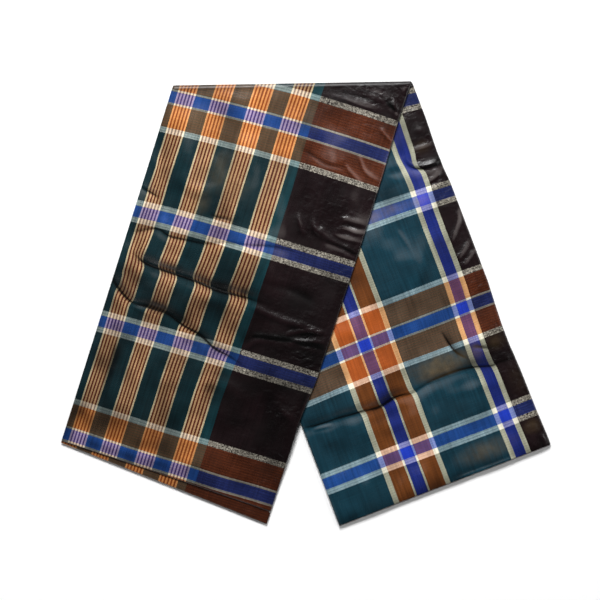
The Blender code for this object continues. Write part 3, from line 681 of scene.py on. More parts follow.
class ClothMesh:
    """Gathers the points, the faces and both maps of one closed piece of cloth."""

    def __init__(self, rings: Numbers, cloth: Numbers) -> None:
        """Joins rings of points with bands of faces.

        Args:
            rings: Points in millimetres, by station and by place round the ring.
            cloth: Places on the cloth in millimetres, with one more round the ring.
        """
        self.points = rings.reshape(-1, 3)
        self.numbers = np.arange(len(self.points)).reshape(rings.shape[:2])
        self.cloth = cloth
        self.faces: list[Sequence[int]] = []
        self.tone: Numbers = np.zeros(0)
        self.loops: dict[str, list[Numbers]] = {CLOTH_MAP: [], BAKE_MAP: []}
        closed = np.concatenate([self.numbers, self.numbers[:, :1]], 1)
        self.bake = self.bake_places(rings)
        self.add_quads(closed, cloth, self.bake)

    @staticmethod
    def bake_places(rings: Numbers) -> Numbers:
        """Spreads the rings over the bake map by their own lengths."""
        middle = rings[len(rings) // 2]
        round_steps = np.linalg.norm(np.roll(middle, -1, 0) - middle, axis=1)
        across = np.concatenate([[0.0], np.cumsum(round_steps)]) / round_steps.sum()
        spine = rings[:, rings.shape[1] // 4]
        along_steps = np.linalg.norm(np.diff(spine, axis=0), axis=1)
        along = np.concatenate([[0.0], np.cumsum(along_steps)]) / along_steps.sum()
        along = lerp(*RINGS_PART, along)
        return np.stack(np.meshgrid(across, along), -1)

    def add_quads(self, numbers: Numbers, cloth: Numbers, bake: Numbers, flip: bool = False) -> None:
        """Adds a grid of four-sided faces with its maps."""
        order = ((1, 0), (0, 0), (0, 1), (1, 1)) if flip else ((0, 0), (1, 0), (1, 1), (0, 1))

        def corners(grid: Numbers) -> Numbers:
            """Returns the four corners of each face of a grid."""
            rows, columns = grid.shape[0] - 1, grid.shape[1] - 1
            parts = [grid[row:row + rows, column:column + columns] for row, column in order]
            return np.stack(parts, 2).reshape(rows * columns, 4, *grid.shape[2:])

        self.faces.extend(corners(numbers).tolist())
        self.loops[CLOTH_MAP].append(corners(cloth).reshape(-1, 2))
        self.loops[BAKE_MAP].append(corners(bake).reshape(-1, 2))

    def close_leaf(self, last: bool, tips: int) -> None:
        """Closes a leaf's first or last ring between its two long rows.

        Args:
            last: True for the last ring.
            tips: Number of sides with a tip, counted from the left.
        """
        ring = self.numbers[-1 if last else 0]
        places = self.cloth[-1 if last else 0]
        half = (len(ring) - tips) // 2
        rows = [np.arange(1, half + 1), np.arange(len(ring) - half, len(ring))[::-1]]
        low, high = LAST_CAP_PART if last else FIRST_CAP_PART
        spread = np.linspace(0.01, 0.99, half)
        bake = np.stack([np.stack([spread, np.full(half, level)], -1) for level in (high, low)])
        grid, cloth = np.stack([ring[row] for row in rows]), np.stack([places[row] for row in rows])
        self.add_quads(grid, cloth, bake, flip=not last)
        ends = [(0, 0, 0.0)] if tips == 1 else [(0, 0, 0.0), (half + 1, -1, 1.0)]
        for tip, end, edge in ends:
            trio = [(ring[tip], places[tip], (edge, (low + high) / 2))]
            trio += [(grid[row, end], cloth[row, end], bake[row, end]) for row in (1, 0)]
            if (tip == 0) != last:
                trio = trio[::-1]
            self.add_face(trio)

    def add_face(self, corners: Sequence[tuple[int, Numbers, Numbers]]) -> None:
        """Adds one face from its corners' numbers and places on both maps."""
        self.faces.append([int(corner[0]) for corner in corners])
        self.loops[CLOTH_MAP].append(np.array([corner[1] for corner in corners], float))
        self.loops[BAKE_MAP].append(np.array([corner[2] for corner in corners], float))

    def close_stack(self, inner: Numbers, inner_cloth: Numbers, columns: int, last: bool) -> None:
        """Closes the first or last ring of stacked layers with a grid of faces.

        Args:
            inner: Points inside the cap in millimetres, by row and column.
            inner_cloth: Their places on the cloth, in millimetres.
            columns: Number of faces across it.
            last: True for the last ring.
        """
        ring, places = self.numbers[-1 if last else 0], self.cloth[-1 if last else 0]
        rows = len(inner)
        first = len(self.points)
        self.points = np.concatenate([self.points, inner.reshape(-1, 3)])
        added = np.arange(first, len(self.points)).reshape(inner.shape[:2])
        right = np.arange(columns + 1, columns + 1 + rows)
        bottom = np.arange(columns + 1 + rows, 2 * columns + 2 + rows)[::-1]
        left = np.arange(len(ring) - rows, len(ring))[::-1]

        def framed(edge: Numbers, middle: Numbers) -> Numbers:
            """Sets the inner grid between the ring's own values."""
            body = np.concatenate([edge[left][:, None], middle, edge[right][:, None]], 1)
            return np.concatenate([edge[:columns + 1][None], body, edge[bottom][None]])

        low, high = LAST_CAP_PART if last else FIRST_CAP_PART
        across, up = np.linspace(0.0, 1.0, columns + 1), np.linspace(high, low, rows + 2)
        bake = np.stack(np.meshgrid(across, up), -1)
        self.add_quads(framed(ring, added), framed(places[:-1], inner_cloth), bake, flip=not last)

    def make_object(self, name: str, material: bpy.types.Material) -> bpy.types.Object:
        """Turns the piece into a smooth-shaded object, centred over the origin, in metres."""
        mesh = bpy.data.meshes.new(name)
        places = (self.points - (*CENTRE, 0.0)) * MM
        mesh.from_pydata(places.tolist(), [], self.faces)
        mesh.polygons.foreach_set("use_smooth", [True] * len(mesh.polygons))
        for title, scale in ((BAKE_MAP, 1.0), (CLOTH_MAP, MM)):
            layer = mesh.uv_layers.new(name=title)
            layer.data.foreach_set("uv", (np.concatenate(self.loops[title]) * scale).ravel())
        tone = mesh.attributes.new(PAINTED_LIGHT, "FLOAT", "POINT")
        values = np.zeros(len(mesh.vertices), np.float32)
        values[:len(self.tone)] = self.tone
        tone.data.foreach_set("value", values)
        mesh.materials.append(material)
        thing = bpy.data.objects.new(name, mesh)
        bpy.context.scene.collection.objects.link(thing)
        return thing


@dataclass(frozen=True)
class TopLeaf:
    """A top leaf that wraps the round right edge.

    Args:
        name: Name of the piece.
        node: The solid that it stands for.
        slot: Its material slot.
        thin: How much its last ring is thinned, to round off its end.
    """

    name: str
    node: str
    slot: str
    thin: float = LEAF / 3

    def asides(self, station: Station, thin: float) -> Numbers:
        """Distances of the flat part's columns from the left edge."""
        even = np.linspace(0.0, 1.0, COLUMNS + 1)
        share = np.interp(even, (0.0, FINE_FROM[0], 1.0), (0.0, FINE_FROM[1], 1.0))
        return lerp(thin + TIP_ROUND, station.width - EDGE_RADIUS, share)

    def build(self, stations: Sequence[Station], material: bpy.types.Material) -> bpy.types.Object:
        """Builds the leaf.

        Args:
            stations: Its stations from the turn to its end.
            material: Its cloth.

        Returns:
            The finished object.
        """
        thins = [0.0] * (len(stations) - 1) + [self.thin]
        asides = [self.asides(station, thin) for station, thin in zip(stations, thins)]
        plans = [station.plan(aside / station.width) for station, aside in zip(stations, asides)]
        x, y = (np.array([plan[axis] for plan in plans]) for axis in (0, 1))
        waves, creases, push, tone = relief(stations[0].arm, x, y)
        stray = STRIPE_WAVES[1][0] * soft_noise(x, y, *STRIPE_WAVES[1][1:])
        rings, cloth = [], []
        for row, (station, thin) in enumerate(zip(stations, thins)):
            aside = asides[row]
            rise = self.settle(station, aside, waves[row], creases[row])
            rings.append(self.ring(station, aside, rise, thin))
            cloth.append(self.cloth_ring(station, aside, push[row], stray[row]))
        piece = ClothMesh(np.array(rings), np.array(cloth))
        piece.close_leaf(last=False, tips=1)
        piece.close_leaf(last=True, tips=1)
        edge = np.repeat(tone[:, -1:], EDGE_STEPS, 1)
        side = np.concatenate([tone, edge], 1)
        piece.tone = np.concatenate([tone[:, :1], side, side[:, ::-1]], 1).ravel()
        return piece.make_object(self.name, material)

    @staticmethod
    def settle(station: Station, aside: Numbers, waves: Numbers, creases: Numbers) -> Numbers:
        """Lets the waves die out at both edges and at the turn, and the creases at the right edge."""
        from_right = (station.width - EDGE_RADIUS - aside) / EDGE_SETTLE
        from_left = aside / EDGE_SETTLE
        edges = smooth_step(from_right) * (0.35 + 0.65 * smooth_step(from_left))
        rise = waves * edges + creases * lerp(0.3, 1.0, smooth_step(3.0 * from_right))
        return np.maximum(rise * station.at_turn, LEAST_RISE)

    @staticmethod
    def edge_angles() -> Numbers:
        """Angles of the round edge's points from its top."""
        return EDGE_END * np.arange(1, EDGE_STEPS + 1) / EDGE_STEPS

    def ring(self, station: Station, aside: Numbers, rise: Numbers, thin: float) -> Numbers:
        """Ring of the leaf: left tip, outside to the right and round the edge, and inside back."""
        angles = self.edge_angles()
        sides = []
        inside = LEAF - thin
        for radius, level in ((EDGE_RADIUS - thin, PACK - thin), (EDGE_RADIUS - inside, PACK - inside)):
            swell = radius + rise[-1] * (1.0 - smooth_step(angles / EDGE_END))
            edge_aside = station.width - EDGE_RADIUS + swell * np.sin(angles)
            flat = station.place(aside, level + rise)
            round_part = station.place(edge_aside, EDGE_RADIUS + swell * np.cos(angles))
            sides.append(np.concatenate([flat, round_part]))
        tip = station.place(np.array([thin]), PACK + rise[0] - LEAF / 2)
        return np.concatenate([tip, sides[0], sides[1][::-1]])

    def cloth_ring(self, station: Station, aside: Numbers, push: Numbers, stray: Numbers) -> Numbers:
        """Places on the cloth of a ring's points, with the first one again at the end."""
        angles = self.edge_angles()
        scale = BAND / station.width
        flat = np.stack([aside * scale - push, station.weft_way(aside) + stray], -1)
        edge_aside = station.width - EDGE_RADIUS + EDGE_RADIUS * np.sin(angles)
        round_u = flat[-1, 0] + EDGE_RADIUS * angles
        round_part = np.stack([round_u, station.weft_way(edge_aside) + stray[-1]], -1)
        side = np.concatenate([flat, round_part])
        tip = flat[:1] - (TIP_ROUND * scale, 0.0)
        return np.concatenate([tip, side, side[::-1], tip])


@dataclass(frozen=True)
class SecondLeaf:
    """The leaf below the over arm's top leaf, which shows as a dark wedge at the end.

    Args:
        name: Name of the piece.
        narrow: Its two sides' distances inside the outline where the top leaf covers it.
        shift: How far its stripes lie to the left of the top leaf's, in millimetres.
        columns: Number of faces across it.
    """

    name: str = "over_second_leaf_cloth"
    narrow: Point = (0.6, EDGE_RADIUS + 0.4)
    shift: float = 11.0
    columns: int = 120

    def stations(self) -> list[tuple[ArmStation, Point, float]]:
        """Its stations with both sides' insets, and how much each is thinned."""
        top_end = end_station(1.0)
        rows = [(end_station(step / 16), self.narrow, 0.0) for step in range(17)]
        for share in (0.03, 0.06, 0.09):
            rows.append((past_station(top_end, share), self.narrow, 0.0))
        for share in np.linspace(0.12, 0.97, 14):
            rows.append((past_station(top_end, float(share)), (0.0, 0.0), 0.0))
        rows.append((ArmStation(Arm.OVER, 1.0), (0.0, 0.0), LEAF / 3))
        return rows

    def build(self, material: bpy.types.Material) -> bpy.types.Object:
        """Builds the leaf from its cloth's material and returns the finished object."""
        rings, cloth = [], []
        low = HIDDEN_TOP - LEAF
        for station, (left, right), thin in self.stations():
            inset = TIP_ROUND + thin
            aside = np.linspace(left + inset, station.width - right - inset, self.columns + 1)
            x, y = station.plan(aside / station.width)
            wave = 0.12 * soft_noise(x, y, 18.0, 31)
            outer, inner = (station.place(aside, level + wave) for level in (HIDDEN_TOP - thin, low + thin))
            tips = [station.place(np.array([spot]), (low + HIDDEN_TOP) / 2 + wave[end])
                    for spot, end in ((left + thin, 0), (station.width - right - thin, -1))]
            rings.append(np.concatenate([tips[0], outer, tips[1], inner[::-1]]))
            scale = BAND / station.width
            side = np.stack([aside * scale + self.shift, station.weft_way(aside)], -1)
            cloth.append(np.concatenate([side[:1], side, side[-1:], side[::-1], side[:1]]))
        piece = ClothMesh(np.array(rings), np.array(cloth))
        piece.close_leaf(last=False, tips=2)
        piece.close_leaf(last=True, tips=2)
        return piece.make_object(self.name, material)


@dataclass(frozen=True)
class RoundEdge:
    """Round right edge of the hidden layers.

    Args:
        inset: How far its middle lies inside the outline.
        height: Height of its middle.
        radius: Its radius.
        start_angle: Angle from its top where it starts.
    """

    inset: float
    height: float
    radius: float
    start_angle: float = 0.0


INSIDE_WRAP = RoundEdge(EDGE_RADIUS, EDGE_RADIUS, EDGE_RADIUS - LEAF - GAP)
LOW_ANGLE = math.acos((LOW_TOP - EDGE_RADIUS) / INSIDE_WRAP.radius)
BELOW_SECOND_LEAF = RoundEdge(EDGE_RADIUS, EDGE_RADIUS, INSIDE_WRAP.radius, LOW_ANGLE)
PAST_TOP_LEAF = RoundEdge(LOW_TOP / 2 + 1.0, LOW_TOP / 2, LOW_TOP / 2)


@dataclass(frozen=True)
class HiddenLayers:
    """An arm's hidden layers: one rounded solid with leaf folds showing at the left and at the end.

    Args:
        name: Name of the piece.
        node: The solid that it stands for.
        lobe_insets: How far each leaf fold's nose lies back from the outline.
        valley: How far the clefts between the folds lie back.
        rows_each: Rows of points on each leaf fold.
        columns: Number of faces across it.
        sway: How far the noses wander in and out.
    """

    name: str
    node: str
    lobe_insets: tuple[float, ...] = (0.8, 2.2, 1.4)
    valley: float = 4.2
    rows_each: int = 8
    columns: int = 60
    sway: float = 0.6

    def row_count(self) -> int:
        """Number of rows from the top to the underside."""
        return len(self.lobe_insets) * self.rows_each + 1

    def inset(self, row: int, way: float) -> float:
        """How far a row of the layered edge lies back from the outline, at a place along the arm."""
        lobe, part = divmod(row, self.rows_each)
        if part == 0:
            return self.valley
        nose = self.lobe_insets[lobe]
        nose += self.sway * float(soft_noise(np.array(way), np.array(40.0 * lobe), 26.0, 41))
        return lerp(self.valley, nose, math.sin(math.pi * part / self.rows_each) ** 0.55)

    def grid(self, station: Station, low: float, high: float, edge: RoundEdge) -> list[tuple[Point, Point]]:
        """Left and right ends of each row of the layers, top row first."""
        rows = []
        way = float(station.weft_way(np.array(0.0)))
        last = self.row_count() - 1
        for row in range(last + 1):
            left = (self.inset(row, way), lerp(high, low, row / last))
            angle = lerp(edge.start_angle, math.pi, row / (last - 1))
            right = (
                station.width - edge.inset + edge.radius * math.sin(angle),
                edge.height + edge.radius * math.cos(angle),
            )
            if row == last:
                right = (station.width - edge.inset - 0.2, low)
            rows.append((left, right))
        return rows

    def spots(self, left: Point, right: Point) -> tuple[Numbers, Numbers]:
        """Distances and heights of one row's points, for the top and the underside."""
        count = self.columns + 1
        return np.linspace(left[0], right[0], count), np.linspace(left[1], right[1], count)

    def ring(self, station: Station, rows: list[tuple[Point, Point]]) -> tuple[Numbers, Numbers]:
        """Ring of the layers and its places on the cloth: top, right side, underside, left side."""
        top, bottom = self.spots(*rows[0]), self.spots(*rows[-1])
        right = np.array([row[1] for row in rows[1:-1]])
        left = np.array([row[0] for row in rows[-2:0:-1]])
        aside = np.concatenate([top[0], right[:, 0], bottom[0][::-1], left[:, 0]])
        height = np.concatenate([top[1], right[:, 1], bottom[1][::-1], left[:, 1]])
        scale = BAND / station.width
        drop = np.linspace(0.0, 1.0, len(right) + 2)[1:-1] * LEAF
        warp_way = np.concatenate([
            top[0] * scale, BAND - EDGE_RADIUS + 2.0 * drop, bottom[0][::-1] * scale,
            left[:, 0] * scale - drop[::-1],
        ])
        cloth = np.stack([warp_way, station.weft_way(aside)], -1)
        return station.place(aside, height), np.concatenate([cloth, cloth[:1]])

    def cap(self, station: Station, rows: list[tuple[Point, Point]], layered: bool) -> tuple[Numbers, Numbers]:
        """Inner points of an end cap and their places on the cloth.

        Args:
            station: The station that it closes.
            rows: Its rows' left and right ends.
            layered: True where its leaf folds stick out.

        Returns:
            Points and places on the cloth, by row and column.
        """
        spots, cloth = [], []
        for row, (left, right) in enumerate(rows[1:-1], start=1):
            aside = np.linspace(left[0], right[0], self.columns + 1)[1:-1]
            share = np.linspace(0.0, 1.0, self.columns + 1)[1:-1]
            height = lerp(left[1], right[1], smooth_step(3.0 * share - 2.0))
            push = self.valley - self.inset(row, 300.0)
            sway = 0.8 * soft_noise(aside, np.full_like(aside, 50.0 * (row // self.rows_each)), 22.0, 42)
            push = (push + sway * push / self.valley) if layered else 0.0
            spots.append(station.place(aside, height, push))
            cloth.append(np.stack([aside * BAND / station.width, station.weft_way(aside) + push], -1))
        return np.array(spots), np.array(cloth)

    def build(
        self, plan: Sequence[tuple[Station, float, float, RoundEdge]], material: bpy.types.Material,
    ) -> bpy.types.Object:
        """Builds the layers.

        Args:
            plan: Its stations, each with its lowest and highest height and its round edge.
            material: Its cloth.

        Returns:
            The finished object.
        """
        grids = [self.grid(station, low, high, edge) for station, low, high, edge in plan]
        rings = [self.ring(row[0], rows) for row, rows in zip(plan, grids)]
        piece = ClothMesh(np.array([ring[0] for ring in rings]), np.array([ring[1] for ring in rings]))
        piece.close_stack(*self.cap(plan[0][0], grids[0], False), self.columns, last=False)
        piece.close_stack(*self.cap(plan[-1][0], grids[-1], True), self.columns, last=True)
        return piece.make_object(self.name, material)


class Value:
    """A shader socket that holds a number, so that sums are written as Python expressions."""

    def __init__(self, shader: "Shader", socket: bpy.types.NodeSocket) -> None:
        """Keeps the shader and the socket."""
        self.shader = shader
        self.socket = socket

    def math(self, operation: str, *others: "Value | float", first: "Value | float | None" = None) -> "Value":
        """Adds a Math node.

        Args:
            operation: The node's operation.
            others: Its inputs after the first.
            first: Its first input, where that isn't this value.

        Returns:
            The node's result.
        """
        inputs = dict(enumerate([self if first is None else first, *others]))
        return self.shader.value(self.shader.node("ShaderNodeMath", {"operation": operation}, inputs))

    def __add__(self, other: "Value | float") -> "Value":
        """Sum."""
        return self.math("ADD", other)

    __radd__ = __add__

    def __sub__(self, other: "Value | float") -> "Value":
        """Difference."""
        return self.math("SUBTRACT", other)

    def __rsub__(self, other: float) -> "Value":
        """Difference from a number."""
        return self.math("SUBTRACT", self, first=other)

    def __mul__(self, other: "Value | float") -> "Value":
        """Product."""
        return self.math("MULTIPLY", other)

    __rmul__ = __mul__

    def __truediv__(self, other: "Value | float") -> "Value":
        """Quotient."""
        return self.math("DIVIDE", other)

    def __gt__(self, other: "Value | float") -> "Value":
        """1 where it is more, and 0 elsewhere."""
        return self.math("GREATER_THAN", other)

    def __lt__(self, other: "Value | float") -> "Value":
        """1 where it is less, and 0 elsewhere."""
        return self.math("LESS_THAN", other)

    def clamp(self) -> "Value":
        """Kept between 0 and 1."""
        return self.math("MINIMUM", 1.0).math("MAXIMUM", 0.0)


class Shader:
    """Builds one material's nodes."""

    def __init__(self, name: str) -> None:
        """Makes an empty material."""
        self.material = bpy.data.materials.new(name)
        self.material.use_nodes = True
        self.tree = self.material.node_tree
        self.tree.nodes.clear()

    def node(self, kind: str, settings: dict, inputs: dict) -> bpy.types.Node:
        """Adds one node.

        Args:
            kind: The node's type.
            settings: Its own settings, which are set first.
            inputs: Values or links of its sockets, by name or number.

        Returns:
            The node.
        """
        made = self.tree.nodes.new(kind)
        for name, setting in settings.items():
            setattr(made, name, setting)
        for name, given in inputs.items():
            if isinstance(given, Value):
                given = given.socket
            if isinstance(given, bpy.types.NodeSocket):
                self.tree.links.new(given, made.inputs[name])
            else:
                made.inputs[name].default_value = given
        return made

    def value(self, made: bpy.types.Node, output: str | int = 0) -> Value:
        """Returns one of a node's outputs as a number."""
        return Value(self, made.outputs[output])

    def vector(self, x: Value | float, y: Value | float, z: Value | float = 0.0) -> bpy.types.NodeSocket:
        """Returns a vector from three numbers."""
        return self.node("ShaderNodeCombineXYZ", {}, {0: x, 1: y, 2: z}).outputs[0]

    def noise(self, place: bpy.types.NodeSocket, scale: float, detail: float = 2.0) -> Value:
        """Returns soft noise around zero, from about -0.5 to 0.5."""
        inputs = {"Vector": place, "Scale": scale, "Detail": detail}
        return self.value(self.node("ShaderNodeTexNoise", {"noise_dimensions": "3D"}, inputs), "Fac") - 0.5

    def mix(self, share: Value | float, first: object, second: object) -> bpy.types.NodeSocket:
        """Returns a colour between two others."""
        made = self.node("ShaderNodeMix", {"data_type": "RGBA"}, {0: share, 6: first, 7: second})
        return made.outputs[2]

    def added(self, first: bpy.types.NodeSocket, second: bpy.types.NodeSocket) -> bpy.types.NodeSocket:
        """Adds two colours."""
        return self.node("ShaderNodeVectorMath", {"operation": "ADD"}, {0: first, 1: second}).outputs[0]

    def scaled(self, colour: bpy.types.NodeSocket, amount: Value) -> bpy.types.NodeSocket:
        """Returns a colour made lighter or darker."""
        made = self.node("ShaderNodeVectorMath", {"operation": "SCALE"}, {0: colour, "Scale": amount})
        return made.outputs[0]


def linear(red: int, green: int, blue: int) -> Colour:
    """Turns a screen colour from 0 to 255 into linear light."""
    parts = (part / 255 for part in (red, green, blue))
    return tuple(part / 12.92 if part <= 0.04045 else ((part + 0.055) / 1.055) ** 2.4 for part in parts)


@dataclass(frozen=True)
class Yarn:
    """One dyed yarn.

    Args:
        colour: Its colour in linear light.
        cover: How strongly it shows against the yarns that cross it.
    """

    colour: Colour
    cover: float


BLACK = Yarn(linear(20, 10, 12), 1.0)
GREEN = Yarn(linear(15, 49, 61), 1.2)
PINE = Yarn(linear(12, 38, 43), 1.2)
TEAL = Yarn(linear(13, 49, 55), 1.2)
BLUE = Yarn(linear(24, 38, 106), 1.1)
CREAM = Yarn(linear(204, 205, 180), 0.15)
PALE = Yarn(linear(210, 190, 150), 0.3)
TAN = Yarn(linear(204, 163, 117), 0.3)
UMBER = Yarn(linear(84, 36, 24), 0.8)
ORANGE = Yarn(linear(104, 58, 24), 0.5)
BLACK_WEFT = Yarn(linear(20, 10, 12), 0.2)
BLUE_WEFT = Yarn(linear(40, 67, 146), 0.32)
CREAM_WEFT = Yarn(linear(220, 213, 196), 0.28)
BROWN_WEFT = Yarn(linear(154, 76, 32), 0.2)


@dataclass(frozen=True)
class Blend:
    """Colour that one warp yarn takes on among crossing yarns of one kind.

    Args:
        warp: The yarn.
        over_brown: Its colour among brown yarns, in linear light.
        over_blue: Its colour among blue yarns, in linear light.
    """

    warp: Yarn
    over_brown: Colour
    over_blue: Colour


# What some warp yarns turn into among brown or blue weft.
BLENDS = (
    Blend(GREEN, linear(50, 56, 42), linear(20, 58, 112)),
    Blend(ORANGE, linear(152, 72, 28), linear(104, 58, 44)),
    Blend(BLUE, linear(78, 56, 86), linear(26, 50, 180)),
    Blend(CREAM, linear(224, 184, 120), linear(160, 172, 208)),
    Blend(TAN, linear(214, 146, 76), linear(192, 164, 172)),
    Blend(UMBER, linear(118, 58, 24), linear(62, 38, 68)),
)

# The black stripe's glaze is crushed from this far across the arm, and wholly after this span.
CRUSH_FROM = 185.0
CRUSH_SPAN = 90.0
# Colours of painted sheen: pale where creased ridges catch the light, and brassy in its warm patches of painted
# reflection.
PAINTED_SHEEN_COLOUR = linear(172, 164, 160)
PAINTED_BRASSY_SHEEN = linear(140, 116, 78)


@dataclass(frozen=True)
class WarpFace:
    """Stripes along an arm, from its left edge.

    Args:
        stripes: Where each stripe ends in millimetres, and its yarn. The last has no end.
        groups: Where each group of fine lines starts, and how wide it is.
        lines: How many light lines a group has.
    """

    stripes: tuple[tuple[float, Yarn], ...]
    groups: tuple[Point, ...] = ()
    lines: int = 6


@dataclass(frozen=True)
class WeftRows:
    """Stripes across an arm, which repeat, in millimetres.

    Args:
        pitch: Distance between their middles.
        wide: Numbers of those that have brown bands on both sides.
        blue: Half width of the blue band.
        cream: Width of a broad cream line.
        thin: Width of a thin cream line.
        brown: Width of a brown band.
    """

    wide: tuple[int, ...]
    pitch: float = 160.0
    blue: float = 7.8
    cream: float = 7.6
    thin: float = 2.7
    brown: float = 31.0


OUTER_WARP = WarpFace(
    ((182.0, PINE), (195.5, TEAL), (0.0, BLACK)),
    ((9.5, 24.4), (56.1, 24.9), (106.2, 26.0), (155.7, 26.5)),
)
INNER_WARP = WarpFace((
    (79.7, GREEN), (87.1, CREAM), (110.1, ORANGE), (112.8, CREAM), (129.1, BLUE), (131.8, CREAM),
    (154.8, ORANGE), (161.6, CREAM), (249.0, GREEN), (255.8, CREAM), (271.0, BLUE), (277.8, CREAM),
    (0.0, BLACK),
))


# Painted brassy sheen of the two faces, a painted reflection of warm light, in patches: place across and along,
# half width, half length and strength.
OUTER_BRASSY_SHEEN = (
    (94.0, 80.0, 15.0, 28.0, 0.10), (82.0, 126.0, 13.0, 20.0, 0.10), (45.0, 20.0, 40.0, 20.0, 0.06),
    (120.0, 95.0, 22.0, 22.0, 0.06),
)
INNER_BRASSY_SHEEN = (
    (206.0, 382.0, 46.0, 17.0, 0.24), (262.0, 376.0, 12.0, 16.0, 0.14), (222.0, 514.0, 40.0, 14.0, 0.16),
    (196.0, 160.0, 52.0, 9.0, 0.26), (262.0, 160.0, 13.0, 9.0, 0.24), (290.0, 78.0, 12.0, 12.0, 0.05),
    (292.0, 378.0, 14.0, 12.0, 0.06), (298.0, 440.0, 14.0, 24.0, 0.02), (292.0, 506.0, 13.0, 10.0, 0.09),
)


@dataclass(frozen=True)
class GlazedPlaid:
    """Glazed plaid cotton: dyed yarns crossing, pressed smooth with a soft gloss, with painted shade and
    painted sheen.

    Args:
        name: Name of the material.
        warp: Its stripes along the arm.
        weft: Its stripes across the arm.
        shade: How light it is, below 1 for a leaf that lies in another's shade.
        yarn: Width of one pair of yarns, in millimetres.
        fray: How far the edges of stripes wander, in millimetres.
        pick: Length over which the crossing yarns show more and less, in millimetres.
        fleck: How uneven the cream yarn covers the yarns that it crosses.
        soak: How far the yarns below tint the cream yarn.
        sheen: How strongly the painted sheen, a painted highlight, shows on bright crease ridges.
        roughness: Roughness between sheen patches.
        coat: Strength of the glaze.
        crush: How deeply the black stripe's glaze is crushed near the right, in millimetres.
        brassy: Its patches of painted brassy sheen, a painted reflection, as place across and along, half
            width, half length and strength.
    """

    name: str
    warp: WarpFace
    weft: WeftRows
    shade: float = 1.0
    yarn: float = 1.3
    fray: float = 0.5
    pick: float = 3.4
    fleck: float = 1.4
    soak: float = 14.0
    sheen: float = 0.24
    roughness: float = 0.27
    coat: float = 0.12
    crush: float = 4.0
    brassy: tuple[tuple[float, float, float, float, float], ...] = ()

    def stripes(self, shader: Shader, way: Value, stripes: Sequence[tuple[float, Yarn]]) -> tuple:
        """Colour and cover of plain stripes.

        Args:
            shader: The material's nodes.
            way: Place across the stripes, in millimetres.
            stripes: Where each ends, and its yarn.

        Returns:
            The colour socket and the cover.
        """
        colour: object = (*stripes[0][1].colour, 1.0)
        cover: Value | float = stripes[0][1].cover
        for (end, _), (_, yarn) in zip(stripes, stripes[1:]):
            beyond = way > end
            colour = shader.mix(beyond, colour, (*yarn.colour, 1.0))
            cover = beyond * yarn.cover + (1.0 - beyond) * cover
        return colour, cover

    def warp_yarns(self, shader: Shader, way: Value) -> tuple[object, Value]:
        """Colour and cover of the yarns along the arm, at a place across it."""
        colour, cover = self.stripes(shader, way, self.warp.stripes)
        if not self.warp.groups:
            return colour, cover
        start: Value | float = self.warp.groups[0][0]
        width: Value | float = self.warp.groups[0][1]
        for (before, old), (begin, wide) in zip(self.warp.groups, self.warp.groups[1:]):
            beyond = way > (before + old + begin) / 2
            start = start + beyond * (begin - before)
            width = width + beyond * (wide - old)
        place = (way - start) / width
        inside = (place > 0.0) * (place < 1.0)
        count = self.warp.lines - 0.5
        light = (place * count).math("FRACT") < 0.5
        outermost = (place < 0.5 / count) + (place > 1.0 - 0.5 / count)
        pale = shader.mix(outermost.clamp(), (*TAN.colour, 1.0), (*PALE.colour, 1.0))
        line = shader.mix(light, (*UMBER.colour, 1.0), pale)
        line_cover = light * (TAN.cover - UMBER.cover) + UMBER.cover
        return shader.mix(inside, colour, line), inside * line_cover + (1.0 - inside) * cover

    def weft_yarns(self, shader: Shader, way: Value) -> tuple[object, Value, Value, Value, Value]:
        """Yarns across the arm.

        Args:
            shader: The material's nodes.
            way: Place along the arm, in millimetres.

        Returns:
            Their colour and cover, and where they are broad cream lines, brown bands or blue bands.
        """
        rows = self.weft
        number = (way / rows.pitch).math("ROUND")
        away = (way - number * rows.pitch).math("ABSOLUTE")
        wide: Value | float = 0.0
        for row in rows.wide:
            wide = number.math("COMPARE", float(row), 0.5) + wide
        plain = self.stripes(shader, away, (
            (rows.blue, BLUE_WEFT), (rows.blue + rows.cream, CREAM_WEFT), (0.0, BLACK_WEFT),
        ))
        inner = rows.blue + rows.thin
        outer = inner + rows.brown
        rich = self.stripes(shader, away, (
            (rows.blue, BLUE_WEFT), (inner, CREAM_WEFT), (outer, BROWN_WEFT), (outer + rows.cream, CREAM_WEFT),
            (0.0, BLACK_WEFT),
        ))
        lines = (away > rows.blue) * (away < rows.blue + rows.cream) * (1.0 - wide)
        lines = lines + wide * (away > outer) * (away < outer + rows.cream)
        colour = shader.mix(wide, plain[0], rich[0])
        brown = wide * (away > inner) * (away < outer)
        return colour, wide * rich[1] + (1.0 - wide) * plain[1], lines, brown, away < rows.blue

    def brassy_sheen_share(self, shader: Shader, across: Value, along: Value) -> Value:
        """How much of the painted brassy sheen shows at a place on the cloth."""
        share = across * 0.0
        for middle, way, half_width, half_length, strength in self.brassy:
            aside, ahead = (across - middle) / half_width, (along - way) / half_length
            near = (1.0 - (aside * aside + ahead * ahead) * 0.5).clamp()
            share = near * near * strength + share
        uneven = shader.noise(shader.vector(across, along, 29.0), 1.0 / 14.0, 3.0) * 2.0 + 1.0
        return (share * uneven).clamp()

    @staticmethod
    def beside_turn(shader: Shader) -> Value:
        """Share by which a place nears the turn at the top, from 0 to 1."""
        place = shader.node("ShaderNodeTexCoord", {}, {}).outputs["Object"]
        parts = shader.node("ShaderNodeSeparateXYZ", {}, {0: place})
        x, y = shader.value(parts, 0) * 1000.0, shader.value(parts, 1) * 1000.0
        slope = (FOLD_RIGHT[1] - FOLD_LEFT[1]) / (FOLD_RIGHT[0] - FOLD_LEFT[0])
        level = FOLD_LEFT[1] - CENTRE[1] - slope * (FOLD_LEFT[0] - CENTRE[0])
        return (1.0 - (x * slope + level - y) / TURN_DULL).clamp()

